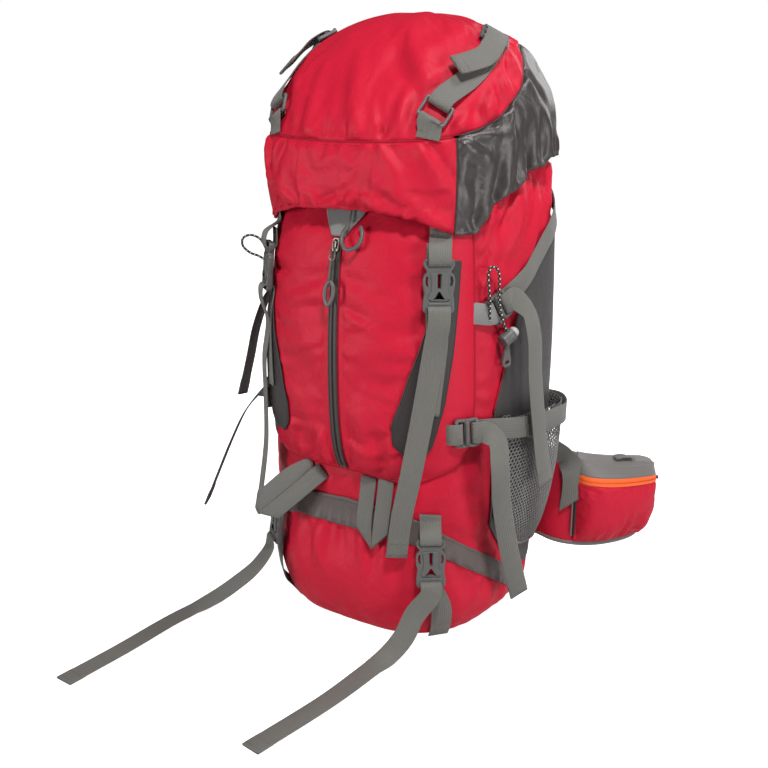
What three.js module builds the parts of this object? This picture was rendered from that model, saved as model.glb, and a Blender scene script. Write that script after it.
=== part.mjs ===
// Camping backpack of about sixty litres, standing on a floor with its straps hanging and lying round it.
// Millimetres, +Z up. The front faces -Y, the harness faces +Y and the wearer's right is +X.
// The origin is on the floor, under the middle of the bag.
import * as THREE from 'three';

// Driving dimensions
const CLOTH = 2.2; // wall of the bag and of the lid
const TRIM = 1.4; // wall of what is sewn over the bag
const GAP = 0.6; // clearance between a piece and what it lies on
const SEWN_LIFT = 1.3; // underside of a sewn panel above the middle of the bag's facets
const WEB_WIDTH = 25;
const WEB_THICK = 1.6;
const WEB_LIFT = GAP + WEB_THICK / 2; // middle of a webbing above what it lies on
const TRIM_LIFT = SEWN_LIFT + TRIM + WEB_LIFT; // the same, over a sewn panel
const RIM_STEP = 9; // degrees between the columns of the bag and the lid
const PROBE = { round: 4, up: 8 }; // degrees and millimetres over which a form's normal is taken
const SIDES = [{ name: 'left', sign: -1 }, { name: 'right', sign: 1 }];

// Finishes: colour, roughness and metalness
const FINISHES = {
  red: { color: 0xcc2840, roughness: 0.62, metalness: 0 },
  taupe: { color: 0x4b4547, roughness: 0.7, metalness: 0 },
  webbing: { color: 0x75736d, roughness: 0.75, metalness: 0 },
  net: { color: 0x6f706c, roughness: 0.8, metalness: 0 },
  plastic: { color: 0x6a6a69, roughness: 0.42, metalness: 0 },
  button: { color: 0xb9b9b6, roughness: 0.4, metalness: 0 },
  cord: { color: 0x1c1b1c, roughness: 0.8, metalness: 0 },
  padding: { color: 0x2f2d2e, roughness: 0.85, metalness: 0 },
};

// Sections of the bag. front and back are reaches from the middle, and a power over 2 squares the corners.
const BAG_SECTIONS = [
  { z: 0, halfWidth: 110, front: 124, back: 82, frontPower: 3, backPower: 2.4 },
  { z: 8, halfWidth: 129, front: 144, back: 90, frontPower: 3, backPower: 2.6 },
  { z: 40, halfWidth: 147, front: 156, back: 96, frontPower: 3, backPower: 3 },
  { z: 120, halfWidth: 156, front: 157, back: 102, frontPower: 3, backPower: 3.6 },
  { z: 210, halfWidth: 160, front: 151, back: 107, frontPower: 3, backPower: 4 },
  { z: 320, halfWidth: 161, front: 142, back: 111, frontPower: 3, backPower: 4 },
  { z: 430, halfWidth: 159, front: 132, back: 113, frontPower: 3, backPower: 4 },
  { z: 510, halfWidth: 155, front: 124, back: 112, frontPower: 3, backPower: 4 },
  { z: 575, halfWidth: 142, front: 110, back: 104, frontPower: 3, backPower: 4 },
];
const BAG_ROWS = [0, 8, 34, 90, 142, 178, 235, 295, 360, 430, 490, 535, 575];

// Dents and folds of the bag: drawn in at the band, which drops towards the back, sagging under it and gathered
// at the collar
const BAND_CREASE = { z: 160, drop: 60, depth: 3.5, height: 22 };
const SAG = { below: 75, depth: 4, height: 36, floor: 4, full: 40 };
const COLLAR = { from: 500, to: 575, depth: 3.5, folds: 10 };

// Sections of the lid. reach is the way up the lid from its lowest edge.
const LID_SECTIONS = [
  { reach: 0, z: 495, halfWidth: 152, front: 161, back: 118, frontPower: 2.8, backPower: 3.6 },
  { reach: 50, z: 545, halfWidth: 156, front: 172, back: 121, frontPower: 2.8, backPower: 3.6 },
  { reach: 97, z: 592, halfWidth: 157, front: 163, back: 122, frontPower: 2.8, backPower: 3.4 },
  { reach: 146, z: 640, halfWidth: 151, front: 141, back: 118, frontPower: 2.7, backPower: 3.2 },
  { reach: 192, z: 682, halfWidth: 130, front: 109, back: 101, frontPower: 2.5, backPower: 2.9 },
  { reach: 232, z: 708, halfWidth: 99, front: 79, back: 79, frontPower: 2.3, backPower: 2.6 },
  { reach: 274, z: 722, halfWidth: 60, front: 46, back: 48, frontPower: 2.1, backPower: 2.2 },
  { reach: 314, z: 728, halfWidth: 20, front: 15, back: 16, frontPower: 2, backPower: 2 },
];
const LID_ROWS = [0, 25, 50, 75, 97, 122, 146, 169, 192, 212, 232, 253, 274, 294, 314];

// Edges of the lid panels by bearing from the front: the rim, and the seam between the sides and the top
const LID_EDGES = [
  { bearing: 0, rim: 28, seam: 99 },
  { bearing: 18, rim: 26, seam: 100 },
  { bearing: 36, rim: 14, seam: 103 },
  { bearing: 45, rim: 3, seam: 106 },
  { bearing: 54, rim: 3, seam: 113 },
  { bearing: 63, rim: 34, seam: 123 },
  { bearing: 72, rim: 46, seam: 141 },
  { bearing: 81, rim: 57, seam: 155 },
  { bearing: 90, rim: 66, seam: 177 },
  { bearing: 99, rim: 73, seam: 204 },
  { bearing: 117, rim: 76, seam: 216 },
  { bearing: 180, rim: 80, seam: 222 },
];
const LID_SEAM = 0.72; // half the open seam between two panels of the lid
const LID_SIDE_SEAM = 0.2; // degrees between the hood and a side, and half that between the sides
const LID_CROWN = 0.8; // rise of the very top over its last section
const HOOD_EASE = 1.8; // room under the hood's curve for a flat strap
const LID_CORNER = 45; // bearing where the hood meets the gathered sides
const GATHER = { depth: 4.5, period: 22.4, height: 34, from: 50, to: 160 };

// Edges of the bag's trim by bearing from the front
const BAND_EDGES = [
  { bearing: 0, low: 142, high: 178 },
  { bearing: 27, low: 140, high: 173 },
  { bearing: 36, low: 130, high: 163 },
  { bearing: 45, low: 117, high: 146 },
  { bearing: 63, low: 82, high: 110 },
  { bearing: 81, low: 47, high: 74 },
  { bearing: 108, low: 20, high: 42 },
];
const BAND_END = 90; // bearing where the band runs into the side seam
const SIDE_PANEL_EDGES = [
  { bearing: 63, low: 150, high: 290 },
  { bearing: 72, low: 112, high: 372 },
  { bearing: 81, low: 88, high: 430 },
  { bearing: 99, low: 62, high: 470 },
  { bearing: 135, low: 90, high: 505 },
];
const MESH_EDGES = [
  { bearing: 64, low: 165, high: 288 },
  { bearing: 72, low: 126, high: 286 },
  { bearing: 90, low: 98, high: 282 },
  { bearing: 108, low: 90, high: 276 },
  { bearing: 126, low: 104, high: 270 },
  { bearing: 133, low: 126, high: 268 },
];
const MESH_BULGE = 17;
const MESH_FULLNESS = 0.8; // a lower power keeps the net full nearer its edges
const MESH_RISE = 1.9; // quarter turns: past half a turn the net draws in again under its hem

// Front pocket: bulge over the bag by height, and its seam half-angle
const POCKET_EDGE = 54;
const POCKET_SEAT = 2.8; // inside of the pocket's seam above the bag
const POCKET_ROUNDING = 2.6; // a higher power keeps the bulge full nearer the seam
const POCKET_DENT = { bearing: 22, z: 330, depth: 3, width: 12, height: 26 };
const POCKET_BULGES = [
  { z: 214, bulge: 0, edge: 34 },
  { z: 232, bulge: 12, edge: 47 },
  { z: 262, bulge: 22, edge: 53 },
  { z: 310, bulge: 30, edge: 54 },
  { z: 370, bulge: 35, edge: 54 },
  { z: 430, bulge: 36, edge: 54 },
  { z: 485, bulge: 32, edge: 54 },
  { z: 520, bulge: 18, edge: 53 },
  { z: 546, bulge: 8, edge: 52 },
];
const POCKET_ROWS = POCKET_BULGES.map((row) => row.z);
const GUSSET_EDGES = [
  { z: 248, inner: 30, outer: 36 },
  { z: 262, inner: 26, outer: 39 },
  { z: 286, inner: 26, outer: 41 },
  { z: 310, inner: 29, outer: 43 },
  { z: 340, inner: 32, outer: 44.5 },
  { z: 370, inner: 35.5, outer: 46 },
  { z: 430, inner: 41, outer: 48 },
  { z: 470, inner: 44, outer: 49 },
];
const ZIP = { width: 10, low: 218, high: 486 };

// Hardware
const BUCKLE = { width: 35, length: 58, thick: 8, slot: 4, slotAt: 23.5, waist: 13.5, under: 3.2 };
const LOCK = { width: 34, length: 28, thick: 5, window: 6, windowAt: 6.5, under: 3.2 };
const RING = { width: 34, length: 25, thick: 4, bar: 4, under: 3.2 };
const CORD_WIDTH = 3;
const CORD_LOCK = { radius: 8, length: 17, bore: 6.4, floor: 3 };
const BUTTON = { radius: 6, length: 17, travel: 4, clearance: 0.5, dome: 3.5 };
const ROUND_STEPS = 12;
const CORD_SIDES = 6;

// Where the hardware sits: bearing and height on the form it lies on
const LID_BUCKLE_AT = { bearing: 41, z: 443 };
const BOTTOM_BUCKLE_AT = { bearing: 38, z: 118, lift: 6 };
const UPPER_LOCK_AT = { bearing: 64, z: 414 };
const LOWER_LOCK_AT = { bearing: 50, z: 277, lift: 10 };
const LID_RING_AT = { bearing: 38, reach: 130 };
const LID_LOCK_AT = { bearing: 77, reach: 214 };

// Plies of the straps that are sewn to the bag or the pocket, on the right: bearing and height
const LID_ANCHOR = [[40.5, 30], [40.5, 14], [40.5, 3, 1.5]]; // inside the hood: bearing, reach, stand-off
const LID_PLY = [[42, 292], [42, 340], [41.5, 385]];
const BOTTOM_PLY = [[43, 9], [43, 22], [42.5, 36], [42, 60]];
const BOTTOM_ANCHOR = [[38, 176], [38, 166]];
const UPPER_STRAP = [{ share: 0, bearing: 130, z: 534 }, { share: 1, bearing: 82, z: 443 }];
const UPPER_STRAP_EASE = 1.5;
const UPPER_AIM = { bearing: 85, z: 446 };
const LOWER_AIM = { bearing: 66, z: 279 };
const LID_STRAP = [[52, 164, 1], [60, 180, 0], [67, 194, 0]]; // bearing, reach, stand-off
const LID_STRAP_END = [[62, 186, 1], [54, 178, 2], [47, 171, 5]];
const LID_AIM = { bearing: 100, reach: 240 };
const MESH_HEM = [
  { bearing: 128, z: 257, out: 9 },
  { bearing: 120, z: 260, out: 15.5 },
  { bearing: 108, z: 263, out: 20.5 },
  { bearing: 96, z: 266, out: 21.5 },
  { bearing: 84, z: 269, out: 19.5 },
  { bearing: 73, z: 272, out: 15 },
];

// Free strap ends, from the hardware down: x, y and z
const LID_TAILS = {
  right: [[96, -166, 226], [88, -170, 180], [79, -167, 126]],
  left: [[-118, -147, 380], [-127, -146, 330], [-126, -147, 280], [-123, -152, 225], [-126, -160, 172],
    [-130, -166, 134]],
};
// Right lid tail where it lies on the pocket: bearing, height and stand-off
const LID_TAIL_LAID = [[39.5, 375, 5], [37.5, 330, 3], [34.5, 275, 3]];
const BOTTOM_TAILS = {
  right: [[104, -165, 58], [95, -177, 30], [83, -192, 9], [76, -214, 2.4], [70, -290, 1.6], [53, -405, 1.6]],
  left: [[-119, -185, 68], [-143, -203, 42], [-172, -210, 18], [-191, -226, 5], [-198, -262, 2],
    [-200, -340, 1.6], [-205, -426, 1.6]],
};
const UPPER_TAILS = {
  right: [[176, -43, 407], [186, -46, 380], [189, -46, 335], [195, -40, 268], [201, -30, 198]],
  left: [[-178, -40, 409], [-197, -48, 386], [-207, -62, 345], [-210, -74, 305], [-217, -86, 254]],
};
const LOWER_TAILS = {
  right: [[172, -104, 270], [181, -112, 243], [182, -107, 200], [184, -88, 135], [186, -58, 61]],
  left: [[-176, -93, 268], [-194, -104, 242], [-209, -116, 205], [-226, -126, 160], [-248, -131, 108]],
};
const TAIL_SIDES = { bottom: 20, upper: 78, lower: 62 }; // bearing that a tail's width runs round
const TOOL_LOOP_WIDTH = 20;
const TOOL_LOOPS = {
  right: [[30, -151.7, 210], [31, -161, 160], [34, -163, 132], [44, -164.5, 121], [55, -166, 132],
    [57, -164, 160], [56, -152, 210]],
  left: [[-31, -152.2, 204], [-52, -172, 183], [-78, -181, 160], [-97, -185, 140], [-108, -185, 149],
    [-101, -180, 170], [-78, -170, 191], [-56, -152.4, 204]],
};

// Elastic cords: places in the frame of the upper ladder lock, along its strap, across it and out
const CORD_ROUTES = {
  right: [[-19, -4, 7], [-15, 8, 10], [-9, 22, 12], [-3, 36, 12], [2, 46, 12], [9, 50, 13], [14, 44, 14],
    [11, 34, 14.5], [4, 22, 14.5], [-3, 8, 14.5], [-7, -6, 14.5], [-9, -24.2, 13]],
  left: [[-19, -4, 7], [-15.6, 10, 9.8], [-14, 26, 12], [-11, 38, 17], [-9, 43, 26], [-8, 46, 36], [-8, 56, 44],
    [-8, 68, 42], [-8, 74, 32], [-8, 70, 21], [-8, 57, 15.5], [-8, 40, 14.5], [-8, 22, 14.5], [-8, 4, 14.5],
    [-9, -10, 14], [-9, -24.2, 13]],
};
const CORD_LOCK_AT = { along: -20, across: -32.6, out: 13 };

// Harness
const BACK_PANEL = { half: 36, low: 90, high: 490, thick: 5, rib: 2 };
const SHOULDER_STOPS = [
  { x: 52, y: 114.6, z: 532, width: 62, thick: 7 },
  { x: 58, y: 152, z: 505, width: 64, thick: 8 },
  { x: 66, y: 168, z: 450, width: 62, thick: 8 },
  { x: 74, y: 166, z: 380, width: 56, thick: 8 },
  { x: 82, y: 152, z: 310, width: 52, thick: 8 },
  { x: 90, y: 136, z: 262, width: 44, thick: 7 },
  { x: 96, y: 125, z: 234, width: 26, thick: 3 },
  { x: 103, y: 115, z: 215, width: 25, thick: 2.5 },
  { x: 108, y: 109.2, z: 202, width: 25, thick: 2.5 },
];
const WING_STOPS = [
  { x: 92, y: 109.4, low: 70, high: 182 },
  { x: 128, y: 108.8, low: 66, high: 187 },
  { x: 160, y: 106, low: 62, high: 190 },
  { x: 190, y: 121, low: 58, high: 184 },
  { x: 214, y: 152, low: 54, high: 176 },
  { x: 232, y: 196, low: 51, high: 166 },
  { x: 241, y: 240, low: 54, high: 154 },
];
const WING_THICK = 9;
const WING_THINNED = 0.45; // share of the thickness left at the edges
const WING_PROBE = 0.05; // share along over which the wing's direction is taken
const WING_EDGE = 0.12; // share of the wing's height that thins to its edge
const BELT_POCKET = { from: 0.45, to: 0.9875, low: 0.14, high: 0.82, bulge: 17 }; // shares of the wing
const BELT_WEB = 38;
const BELT_STOPS = [[229.8, 214, 102], [229, 250, 98], [222, 292, 90], [176, 325, 80], [104, 341, 72],
  [62, 345, 70]];
const BELT_BUCKLE = { ...BUCKLE, width: 48, length: 78, waist: 19, slotAt: 33 };
const BELT_BUCKLE_AT = { y: 345, z: 70 };
const HANDLE = { half: 46, bearing: 22.7, z: 552, out: 26, thick: 2.5 }; // its ends' bearing from the back

const vec = (x, y, z) => new THREE.Vector3(x, y, z);

/** Row of a table just below a key, and how far the key lies on the way to the next row. */
function cell(keys, at) {
  const last = keys.length - 2;
  let index = 0;
  while (index < last && keys[index + 1] <= at) index += 1;
  const share = (at - keys[index]) / (keys[index + 1] - keys[index]);
  return [index, THREE.MathUtils.clamp(share, 0, 1)];
}

/** A column's value at a key, in straight lines between the rows of a table. */
function straight(table, key, at, column) {
  const [index, share] = cell(table.map((row) => row[key]), at);
  return THREE.MathUtils.lerp(table[index][column], table[index + 1][column], share);
}

/** A column's value at a key, on a smooth curve through the rows of a table. */
function smooth(table, key, at, column) {
  const [index, share] = cell(table.map((row) => row[key]), at);
  const rows = [index - 1, index, index + 1, index + 2].map(
    (number) => table[THREE.MathUtils.clamp(number, 0, table.length - 1)],
  );
  const span = rows[2][key] - rows[1][key];
  const slope = (a, b) => ((b[column] - a[column]) / (b[key] - a[key])) * span;
  const start = slope(rows[0] === rows[1] ? rows[1] : rows[0], rows[2]);
  const end = slope(rows[1], rows[3] === rows[2] ? rows[2] : rows[3]);
  const rise = rows[2][column] - rows[1][column];
  const bend = share * (1 - share) * ((1 - share) * (start - rise) - share * (end - rise));
  return rows[1][column] + rise * share + bend;
}

/** Numbers from one limit to another in equal steps. */
function steps(from, to, count) {
  return Array.from({ length: count + 1 }, (_, index) => from + ((to - from) * index) / count);
}

/** A form looked up by two coordinates, faceted on a grid so that what lies on it follows its facets. */
class Surface {
  constructor(exact, columns, rows) {
    this.exact = exact;
    this.columns = columns;
    this.rows = rows;
    this.grid = columns.map((u) => rows.map((v) => exact(u, v)));
  }

  faceted(u, v) {
    const [i, s] = cell(this.columns, u);
    const [j, t] = cell(this.rows, v);
    const near = this.grid[i][j].clone().lerp(this.grid[i][j + 1], t);
    const far = this.grid[i + 1][j].clone().lerp(this.grid[i + 1][j + 1], t);
    return near.lerp(far, s);
  }

  normal(u, v) {
    const along = this.exact(u + PROBE.round, v).sub(this.exact(u - PROBE.round, v));
    const up = this.exact(u, v + PROBE.up).sub(this.exact(u, v - PROBE.up));
    return along.cross(up).normalize();
  }

  point(u, v, lift = 0) {
    return this.faceted(u, v).addScaledVector(this.normal(u, v), lift);
  }

  /** Frame on the form: z points out, and y lies in the form and points towards a place. */
  frame(u, v, towards, lift = 0) {
    const origin = this.point(u, v, lift);
    const out = this.normal(u, v);
    const ahead = towards.clone().sub(origin);
    ahead.addScaledVector(out, -ahead.dot(out)).normalize();
    const across = ahead.clone().cross(out);
    return new THREE.Matrix4().makeBasis(across, ahead, out).setPosition(origin);
  }
}

/** Radius of a squared-off oval section at a bearing from the front. */
function ovalRadius(section, bearing) {
  const across = Math.abs(Math.sin(bearing));
  const along = Math.cos(bearing);
  const reach = along > 0 ? section.front : section.back;
  const power = along > 0 ? section.frontPower : section.backPower;
  const sum = (across / section.halfWidth) ** power + (Math.abs(along) / reach) ** power;
  return sum ** (-1 / power);
}

/** Section of a stacked form at a key. */
function sectionAt(sections, key, at) {
  const columns = ['halfWidth', 'front', 'back', 'frontPower', 'backPower'];
  return Object.fromEntries(columns.map((column) => [column, smooth(sections, key, at, column)]));
}

/** Place at a bearing from the front, a radius and a height. */
function polar(bearing, radius, z) {
  return vec(radius * Math.sin(bearing), -radius * Math.cos(bearing), z);
}

/** Dents and folds of the bag: the band draws it in, the lower part sags and the collar is gathered. */
function bagFold(degrees, z) {
  const front = Math.cos(THREE.MathUtils.degToRad(degrees));
  const band = BAND_CREASE.z - BAND_CREASE.drop * (1 - front);
  const drawnIn = BAND_CREASE.depth * Math.exp(-(((z - band) / BAND_CREASE.height) ** 2));
  const sag = SAG.depth * Math.exp(-(((z - band + SAG.below) / SAG.height) ** 2));
  const fold = Math.cos(THREE.MathUtils.degToRad(COLLAR.folds * degrees));
  const collar = COLLAR.depth * THREE.MathUtils.smoothstep(z, COLLAR.from, COLLAR.to) * fold;
  return sag * THREE.MathUtils.smoothstep(z, SAG.floor, SAG.full) - drawnIn + collar;
}

function bagPoint(degrees, z) {
  const bearing = THREE.MathUtils.degToRad(degrees);
  const height = THREE.MathUtils.clamp(z, 0, COLLAR.to);
  const radius = ovalRadius(sectionAt(BAG_SECTIONS, 'z', height), bearing);
  return polar(bearing, radius + bagFold(degrees, z), z);
}

/** Edge of a lid panel at a bearing, on either side. */
function lidEdge(degrees, column) {
  return straight(LID_EDGES, 'bearing', Math.abs(degrees), column);
}

/** Gathers along the lower edge of the lid's sides. */
function lidGather(degrees, reach) {
  const bearing = Math.abs(degrees);
  const inside = THREE.MathUtils.smoothstep(bearing, GATHER.from, GATHER.from + 9)
    * (1 - THREE.MathUtils.smoothstep(bearing, GATHER.to, GATHER.to + 9));
  const height = (reach - lidEdge(bearing, 'rim')) / GATHER.height;
  const wave = Math.cos((2 * Math.PI * (bearing - GATHER.from)) / GATHER.period);
  return GATHER.depth * inside * wave * Math.exp(-height * height);
}

function lidPoint(degrees, reach) {
  const bearing = THREE.MathUtils.degToRad(degrees);
  const radius = ovalRadius(sectionAt(LID_SECTIONS, 'reach', reach), bearing);
  return polar(bearing, radius + lidGather(degrees, reach), smooth(LID_SECTIONS, 'reach', reach, 'z'));
}

const roundColumns = steps(-180, 180, 360 / RIM_STEP);
const bag = new Surface(bagPoint, roundColumns, BAG_ROWS);
const lid = new Surface(lidPoint, steps(-180, 180, 720 / RIM_STEP), LID_ROWS);

/** Front pocket form: the bag with a bulge that runs out at the pocket's seam. */
function pocketPoint(degrees, z) {
  const share = Math.min(1, Math.abs(degrees) / straight(POCKET_BULGES, 'z', z, 'edge'));
  const swell = smooth(POCKET_BULGES, 'z', z, 'bulge') * (1 - share ** POCKET_ROUNDING);
  const above = (z - POCKET_DENT.z) / POCKET_DENT.height;
  const aside = (Math.abs(degrees) - POCKET_DENT.bearing) / POCKET_DENT.width;
  const dent = POCKET_DENT.depth * Math.exp(-above * above - aside * aside);
  return bag.point(degrees, z, POCKET_SEAT + TRIM + Math.max(0, swell - dent));
}
const pocketColumns = steps(-POCKET_EDGE, POCKET_EDGE, 24);
const pocket = new Surface(pocketPoint, pocketColumns, POCKET_ROWS);

/** Closed geometry from corners and faces, turned so that its faces point out. */
function closedGeometry(corners, faces) {
  let volume = 0;
  for (let k = 0; k < faces.length; k += 3) {
    const [a, b, c] = [corners[faces[k]], corners[faces[k + 1]], corners[faces[k + 2]]];
    volume += a.dot(b.clone().cross(c));
  }
  const turned = volume < 0 ? faces.slice().reverse() : faces;
  const geometry = new THREE.BufferGeometry().setFromPoints(corners);
  geometry.setIndex(turned);
  geometry.computeVertexNormals();
  return geometry;
}

/** Wall between an outer and an inner grid. A ring closes on itself, an end is an edge or a whole cover. */
function wall(outer, inner, { ring = false, lowCover = null, highCover = null } = {}) {
  const corners = [];
  const faces = [];
  const place = (column) => column.map((point) => corners.push(point) - 1);
  const out = outer.map(place);
  const back = inner.map(place);
  const quad = (a, b, c, d) => faces.push(a, b, c, a, c, d);
  const top = outer[0].length - 1;
  const cover = (pair, row, flip) => {
    const middles = pair.map((point) => corners.push(point) - 1);
    return (i, n) => {
      faces.push(middles[0], ...(flip ? [out[n][row], out[i][row]] : [out[i][row], out[n][row]]));
      faces.push(middles[1], ...(flip ? [back[i][row], back[n][row]] : [back[n][row], back[i][row]]));
    };
  };
  const low = lowCover
    ? cover(lowCover, 0, true)
    : (i, n) => quad(back[i][0], back[n][0], out[n][0], out[i][0]);
  const high = highCover
    ? cover(highCover, top, false)
    : (i, n) => quad(out[i][top], out[n][top], back[n][top], back[i][top]);
  const last = ring ? out.length : out.length - 1;
  for (let i = 0; i < last; i += 1) {
    const n = (i + 1) % out.length;
    for (let j = 0; j < top; j += 1) {
      quad(out[i][j], out[n][j], out[n][j + 1], out[i][j + 1]);
      quad(back[n][j], back[i][j], back[i][j + 1], back[n][j + 1]);
    }
    low(i, n);
    high(i, n);
  }
  const end = out.length - 1;
  for (let j = 0; !ring && j < top; j += 1) {
    quad(out[0][j], out[0][j + 1], back[0][j + 1], back[0][j]);
    quad(out[end][j + 1], out[end][j], back[end][j], back[end][j + 1]);
  }
  return closedGeometry(corners, faces);
}

/** Sewn panel on a form: columns of it, its low and high edge, and how far it stands off. */
function panel(surface, { columns, low, high, rows, lift = () => SEWN_LIFT, thick = TRIM }) {
  const grid = (extra) => columns.map((u) => steps(low(u), high(u), rows).map(
    (v) => surface.point(u, v, lift(u, v) + extra),
  ));
  return wall(grid(thick), grid(0));
}

/** Directions along a path, halfway between its legs at each corner. */
function directions(points) {
  return points.map((point, k) => {
    const before = points[Math.max(0, k - 1)];
    const after = points[Math.min(points.length - 1, k + 1)];
    const into = k > 0 ? point.clone().sub(before).normalize() : vec(0, 0, 0);
    const away = k < points.length - 1 ? after.clone().sub(point).normalize() : vec(0, 0, 0);
    return into.add(away).normalize();
  });
}

/** Solid swept along stops. A stop has a point, and the side its width lies along or its normal. */
function sweep(stops, section) {
  const points = stops.map((stop) => stop.point);
  const ahead = directions(points);
  const sides = [];
  stops.forEach((stop, k) => {
    const side = stop.side ? stop.side.clone() : ahead[k].clone().cross(stop.normal);
    side.addScaledVector(ahead[k], -side.dot(ahead[k])).normalize();
    if (k > 0 && side.dot(sides[k - 1]) < 0) side.negate();
    sides.push(side);
  });
  const corners = [];
  const faces = [];
  const rings = stops.map((stop, k) => {
    const out = sides[k].clone().cross(ahead[k]);
    const next = points[Math.min(k + 1, points.length - 1)];
    const leg = next.clone().sub(points[Math.min(k, points.length - 2)]);
    const mitre = 1 / Math.max(0.6, Math.abs(leg.normalize().dot(ahead[k])));
    return section(stop, k).map(([across, up]) => corners.push(
      points[k].clone().addScaledVector(sides[k], across).addScaledVector(out, up * mitre),
    ) - 1);
  });
  const count = rings[0].length;
  for (let k = 0; k + 1 < rings.length; k += 1) {
    for (let m = 0; m < count; m += 1) {
      const n = (m + 1) % count;
      faces.push(rings[k][m], rings[k][n], rings[k + 1][n]);
      faces.push(rings[k][m], rings[k + 1][n], rings[k + 1][m]);
    }
  }
  for (let m = 1; m + 1 < count; m += 1) {
    const end = rings[rings.length - 1];
    faces.push(rings[0][0], rings[0][m + 1], rings[0][m]);
    faces.push(end[0], end[m], end[m + 1]);
  }
  return closedGeometry(corners, faces);
}

/** Corners of a flat strip's section. */
function strip(width, thick) {
  return [[-width / 2, -thick / 2], [width / 2, -thick / 2], [width / 2, thick / 2], [-width / 2, thick / 2]];
}

/** Corners of a padded strip's section, thinner at its edges. */
function pad(width, thick) {
  const edge = width / 2;
  const flat = edge - thick * 0.7;
  const half = thick / 2;
  return [[-edge, 0], [-flat, -half], [flat, -half], [edge, 0], [flat, half], [-flat, half]];
}

function webbing(stops, width = WEB_WIDTH, thick = WEB_THICK) {
  return sweep(stops, () => strip(width, thick));
}

/** Places of the right side, carried over to a side. */
function onSide(places, sign) {
  return places.map(([u, v, extra]) => [sign * u, v, extra]);
}

/** Stops of a strap that lies on a form. */
function laid(surface, places, lift) {
  return places.map(([u, v, extra = 0]) => ({
    point: surface.point(u, v, lift + extra),
    normal: surface.normal(u, v),
  }));
}

/** Stops of a strap in the frame of its hardware, along it and out from it. */
function threaded(frame, places) {
  const side = vec(0, 0, 0).setFromMatrixColumn(frame, 0);
  return places.map(([along, out]) => ({ point: vec(0, along, out).applyMatrix4(frame), side }));
}

/** Stops of a free strap end, with the side that its width lies along. */
function hanging(places, side) {
  return places.map(([x, y, z]) => ({ point: vec(x, y, z), side }));
}

/** Direction round the bag at a bearing. */
function roundwards(degrees) {
  const bearing = THREE.MathUtils.degToRad(degrees);
  return vec(Math.cos(bearing), Math.sin(bearing), 0);
}

const pack = new THREE.Group();

function add(name, geometry, finish, frame = null) {
  const mesh = new THREE.Mesh(geometry, new THREE.MeshStandardMaterial(FINISHES[finish]));
  mesh.name = name;
  if (frame) mesh.applyMatrix4(frame);
  pack.add(mesh);
}

// Bag shell, open at the collar
function mainBag() {
  const columns = roundColumns.slice(0, -1);
  const outer = columns.map((u) => BAG_ROWS.map((z) => bag.point(u, z)));
  const inner = columns.map((u) => BAG_ROWS.map((z) => bag.point(u, z, -CLOTH)));
  inner.forEach((column, i) => {
    column[0] = outer[i][0].clone().multiplyScalar(0.97).setZ(CLOTH);
  });
  const middle = [vec(0, 0, 0), vec(0, 0, CLOTH)];
  return wall(outer, inner, { ring: true, lowCover: middle });
}

function bottomBand() {
  const edge = (column) => (u) => straight(BAND_EDGES, 'bearing', Math.abs(u), column);
  const columns = steps(-BAND_END, BAND_END, 20);
  return panel(bag, { columns, low: edge('low'), high: edge('high'), rows: 3 });
}

function sidePanel(sign) {
  const edge = (column) => (u) => straight(SIDE_PANEL_EDGES, 'bearing', Math.abs(u), column);
  const [first, last] = [SIDE_PANEL_EDGES[0], SIDE_PANEL_EDGES[SIDE_PANEL_EDGES.length - 1]];
  const columns = steps(sign * first.bearing, sign * last.bearing, 8);
  const low = (u) => Math.max(edge('low')(u), bandTop(u));
  return panel(bag, { columns, low, high: edge('high'), rows: 8 });
}

/** Height just over the bottom band at a bearing. */
function bandTop(u) {
  const gone = Math.abs(u) > BAND_EDGES[BAND_EDGES.length - 1].bearing;
  return gone ? 0 : straight(BAND_EDGES, 'bearing', Math.abs(u), 'high') + 2;
}

function meshPocket(sign) {
  const edge = (column) => (u) => straight(MESH_EDGES, 'bearing', Math.abs(u), column);
  const first = MESH_EDGES[0].bearing;
  const last = MESH_EDGES[MESH_EDGES.length - 1].bearing;
  const seat = SEWN_LIFT + TRIM + SEWN_LIFT + GAP;
  const lift = (u, v) => {
    const round = (Math.abs(u) - first) / (last - first);
    const rise = (v - edge('low')(u)) / (edge('high')(u) - edge('low')(u));
    const across = Math.sin(Math.PI * round) ** MESH_FULLNESS;
    return seat + MESH_BULGE * across * Math.sin(rise * MESH_RISE) ** MESH_FULLNESS;
  };
  const columns = steps(first * sign, last * sign, 10);
  return panel(bag, { columns, low: edge('low'), high: edge('high'), rows: 6, lift });
}

function frontPocket() {
  const inside = (u, z) => {
    const edge = straight(POCKET_BULGES, 'z', z, 'edge');
    return (u / POCKET_EDGE) * edge;
  };
  const column = (u, lift) => POCKET_ROWS.map((z) => pocket.point(inside(u, z), z, lift));
  const grid = (lift) => pocketColumns.map((u) => column(u, lift));
  return wall(grid(0), grid(-TRIM));
}

function pocketGusset(sign) {
  const rows = GUSSET_EDGES.map((row) => row.z);
  const columns = [0, 0.5, 1];
  const at = (share, z, lift) => {
    const inner = straight(GUSSET_EDGES, 'z', z, 'inner');
    const outer = straight(GUSSET_EDGES, 'z', z, 'outer');
    return pocket.point(sign * THREE.MathUtils.lerp(inner, outer, share), z, lift);
  };
  const grid = (lift) => columns.map((share) => rows.map((z) => at(share, z, lift)));
  return wall(grid(SEWN_LIFT + TRIM), grid(SEWN_LIFT));
}

function zipTape() {
  const between = POCKET_ROWS.filter((z) => z > ZIP.low && z < ZIP.high);
  const places = [ZIP.low, ...between, ZIP.high].map((z) => [0, z]);
  return webbing(laid(pocket, places, GAP + TRIM / 2), ZIP.width, TRIM);
}

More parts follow.
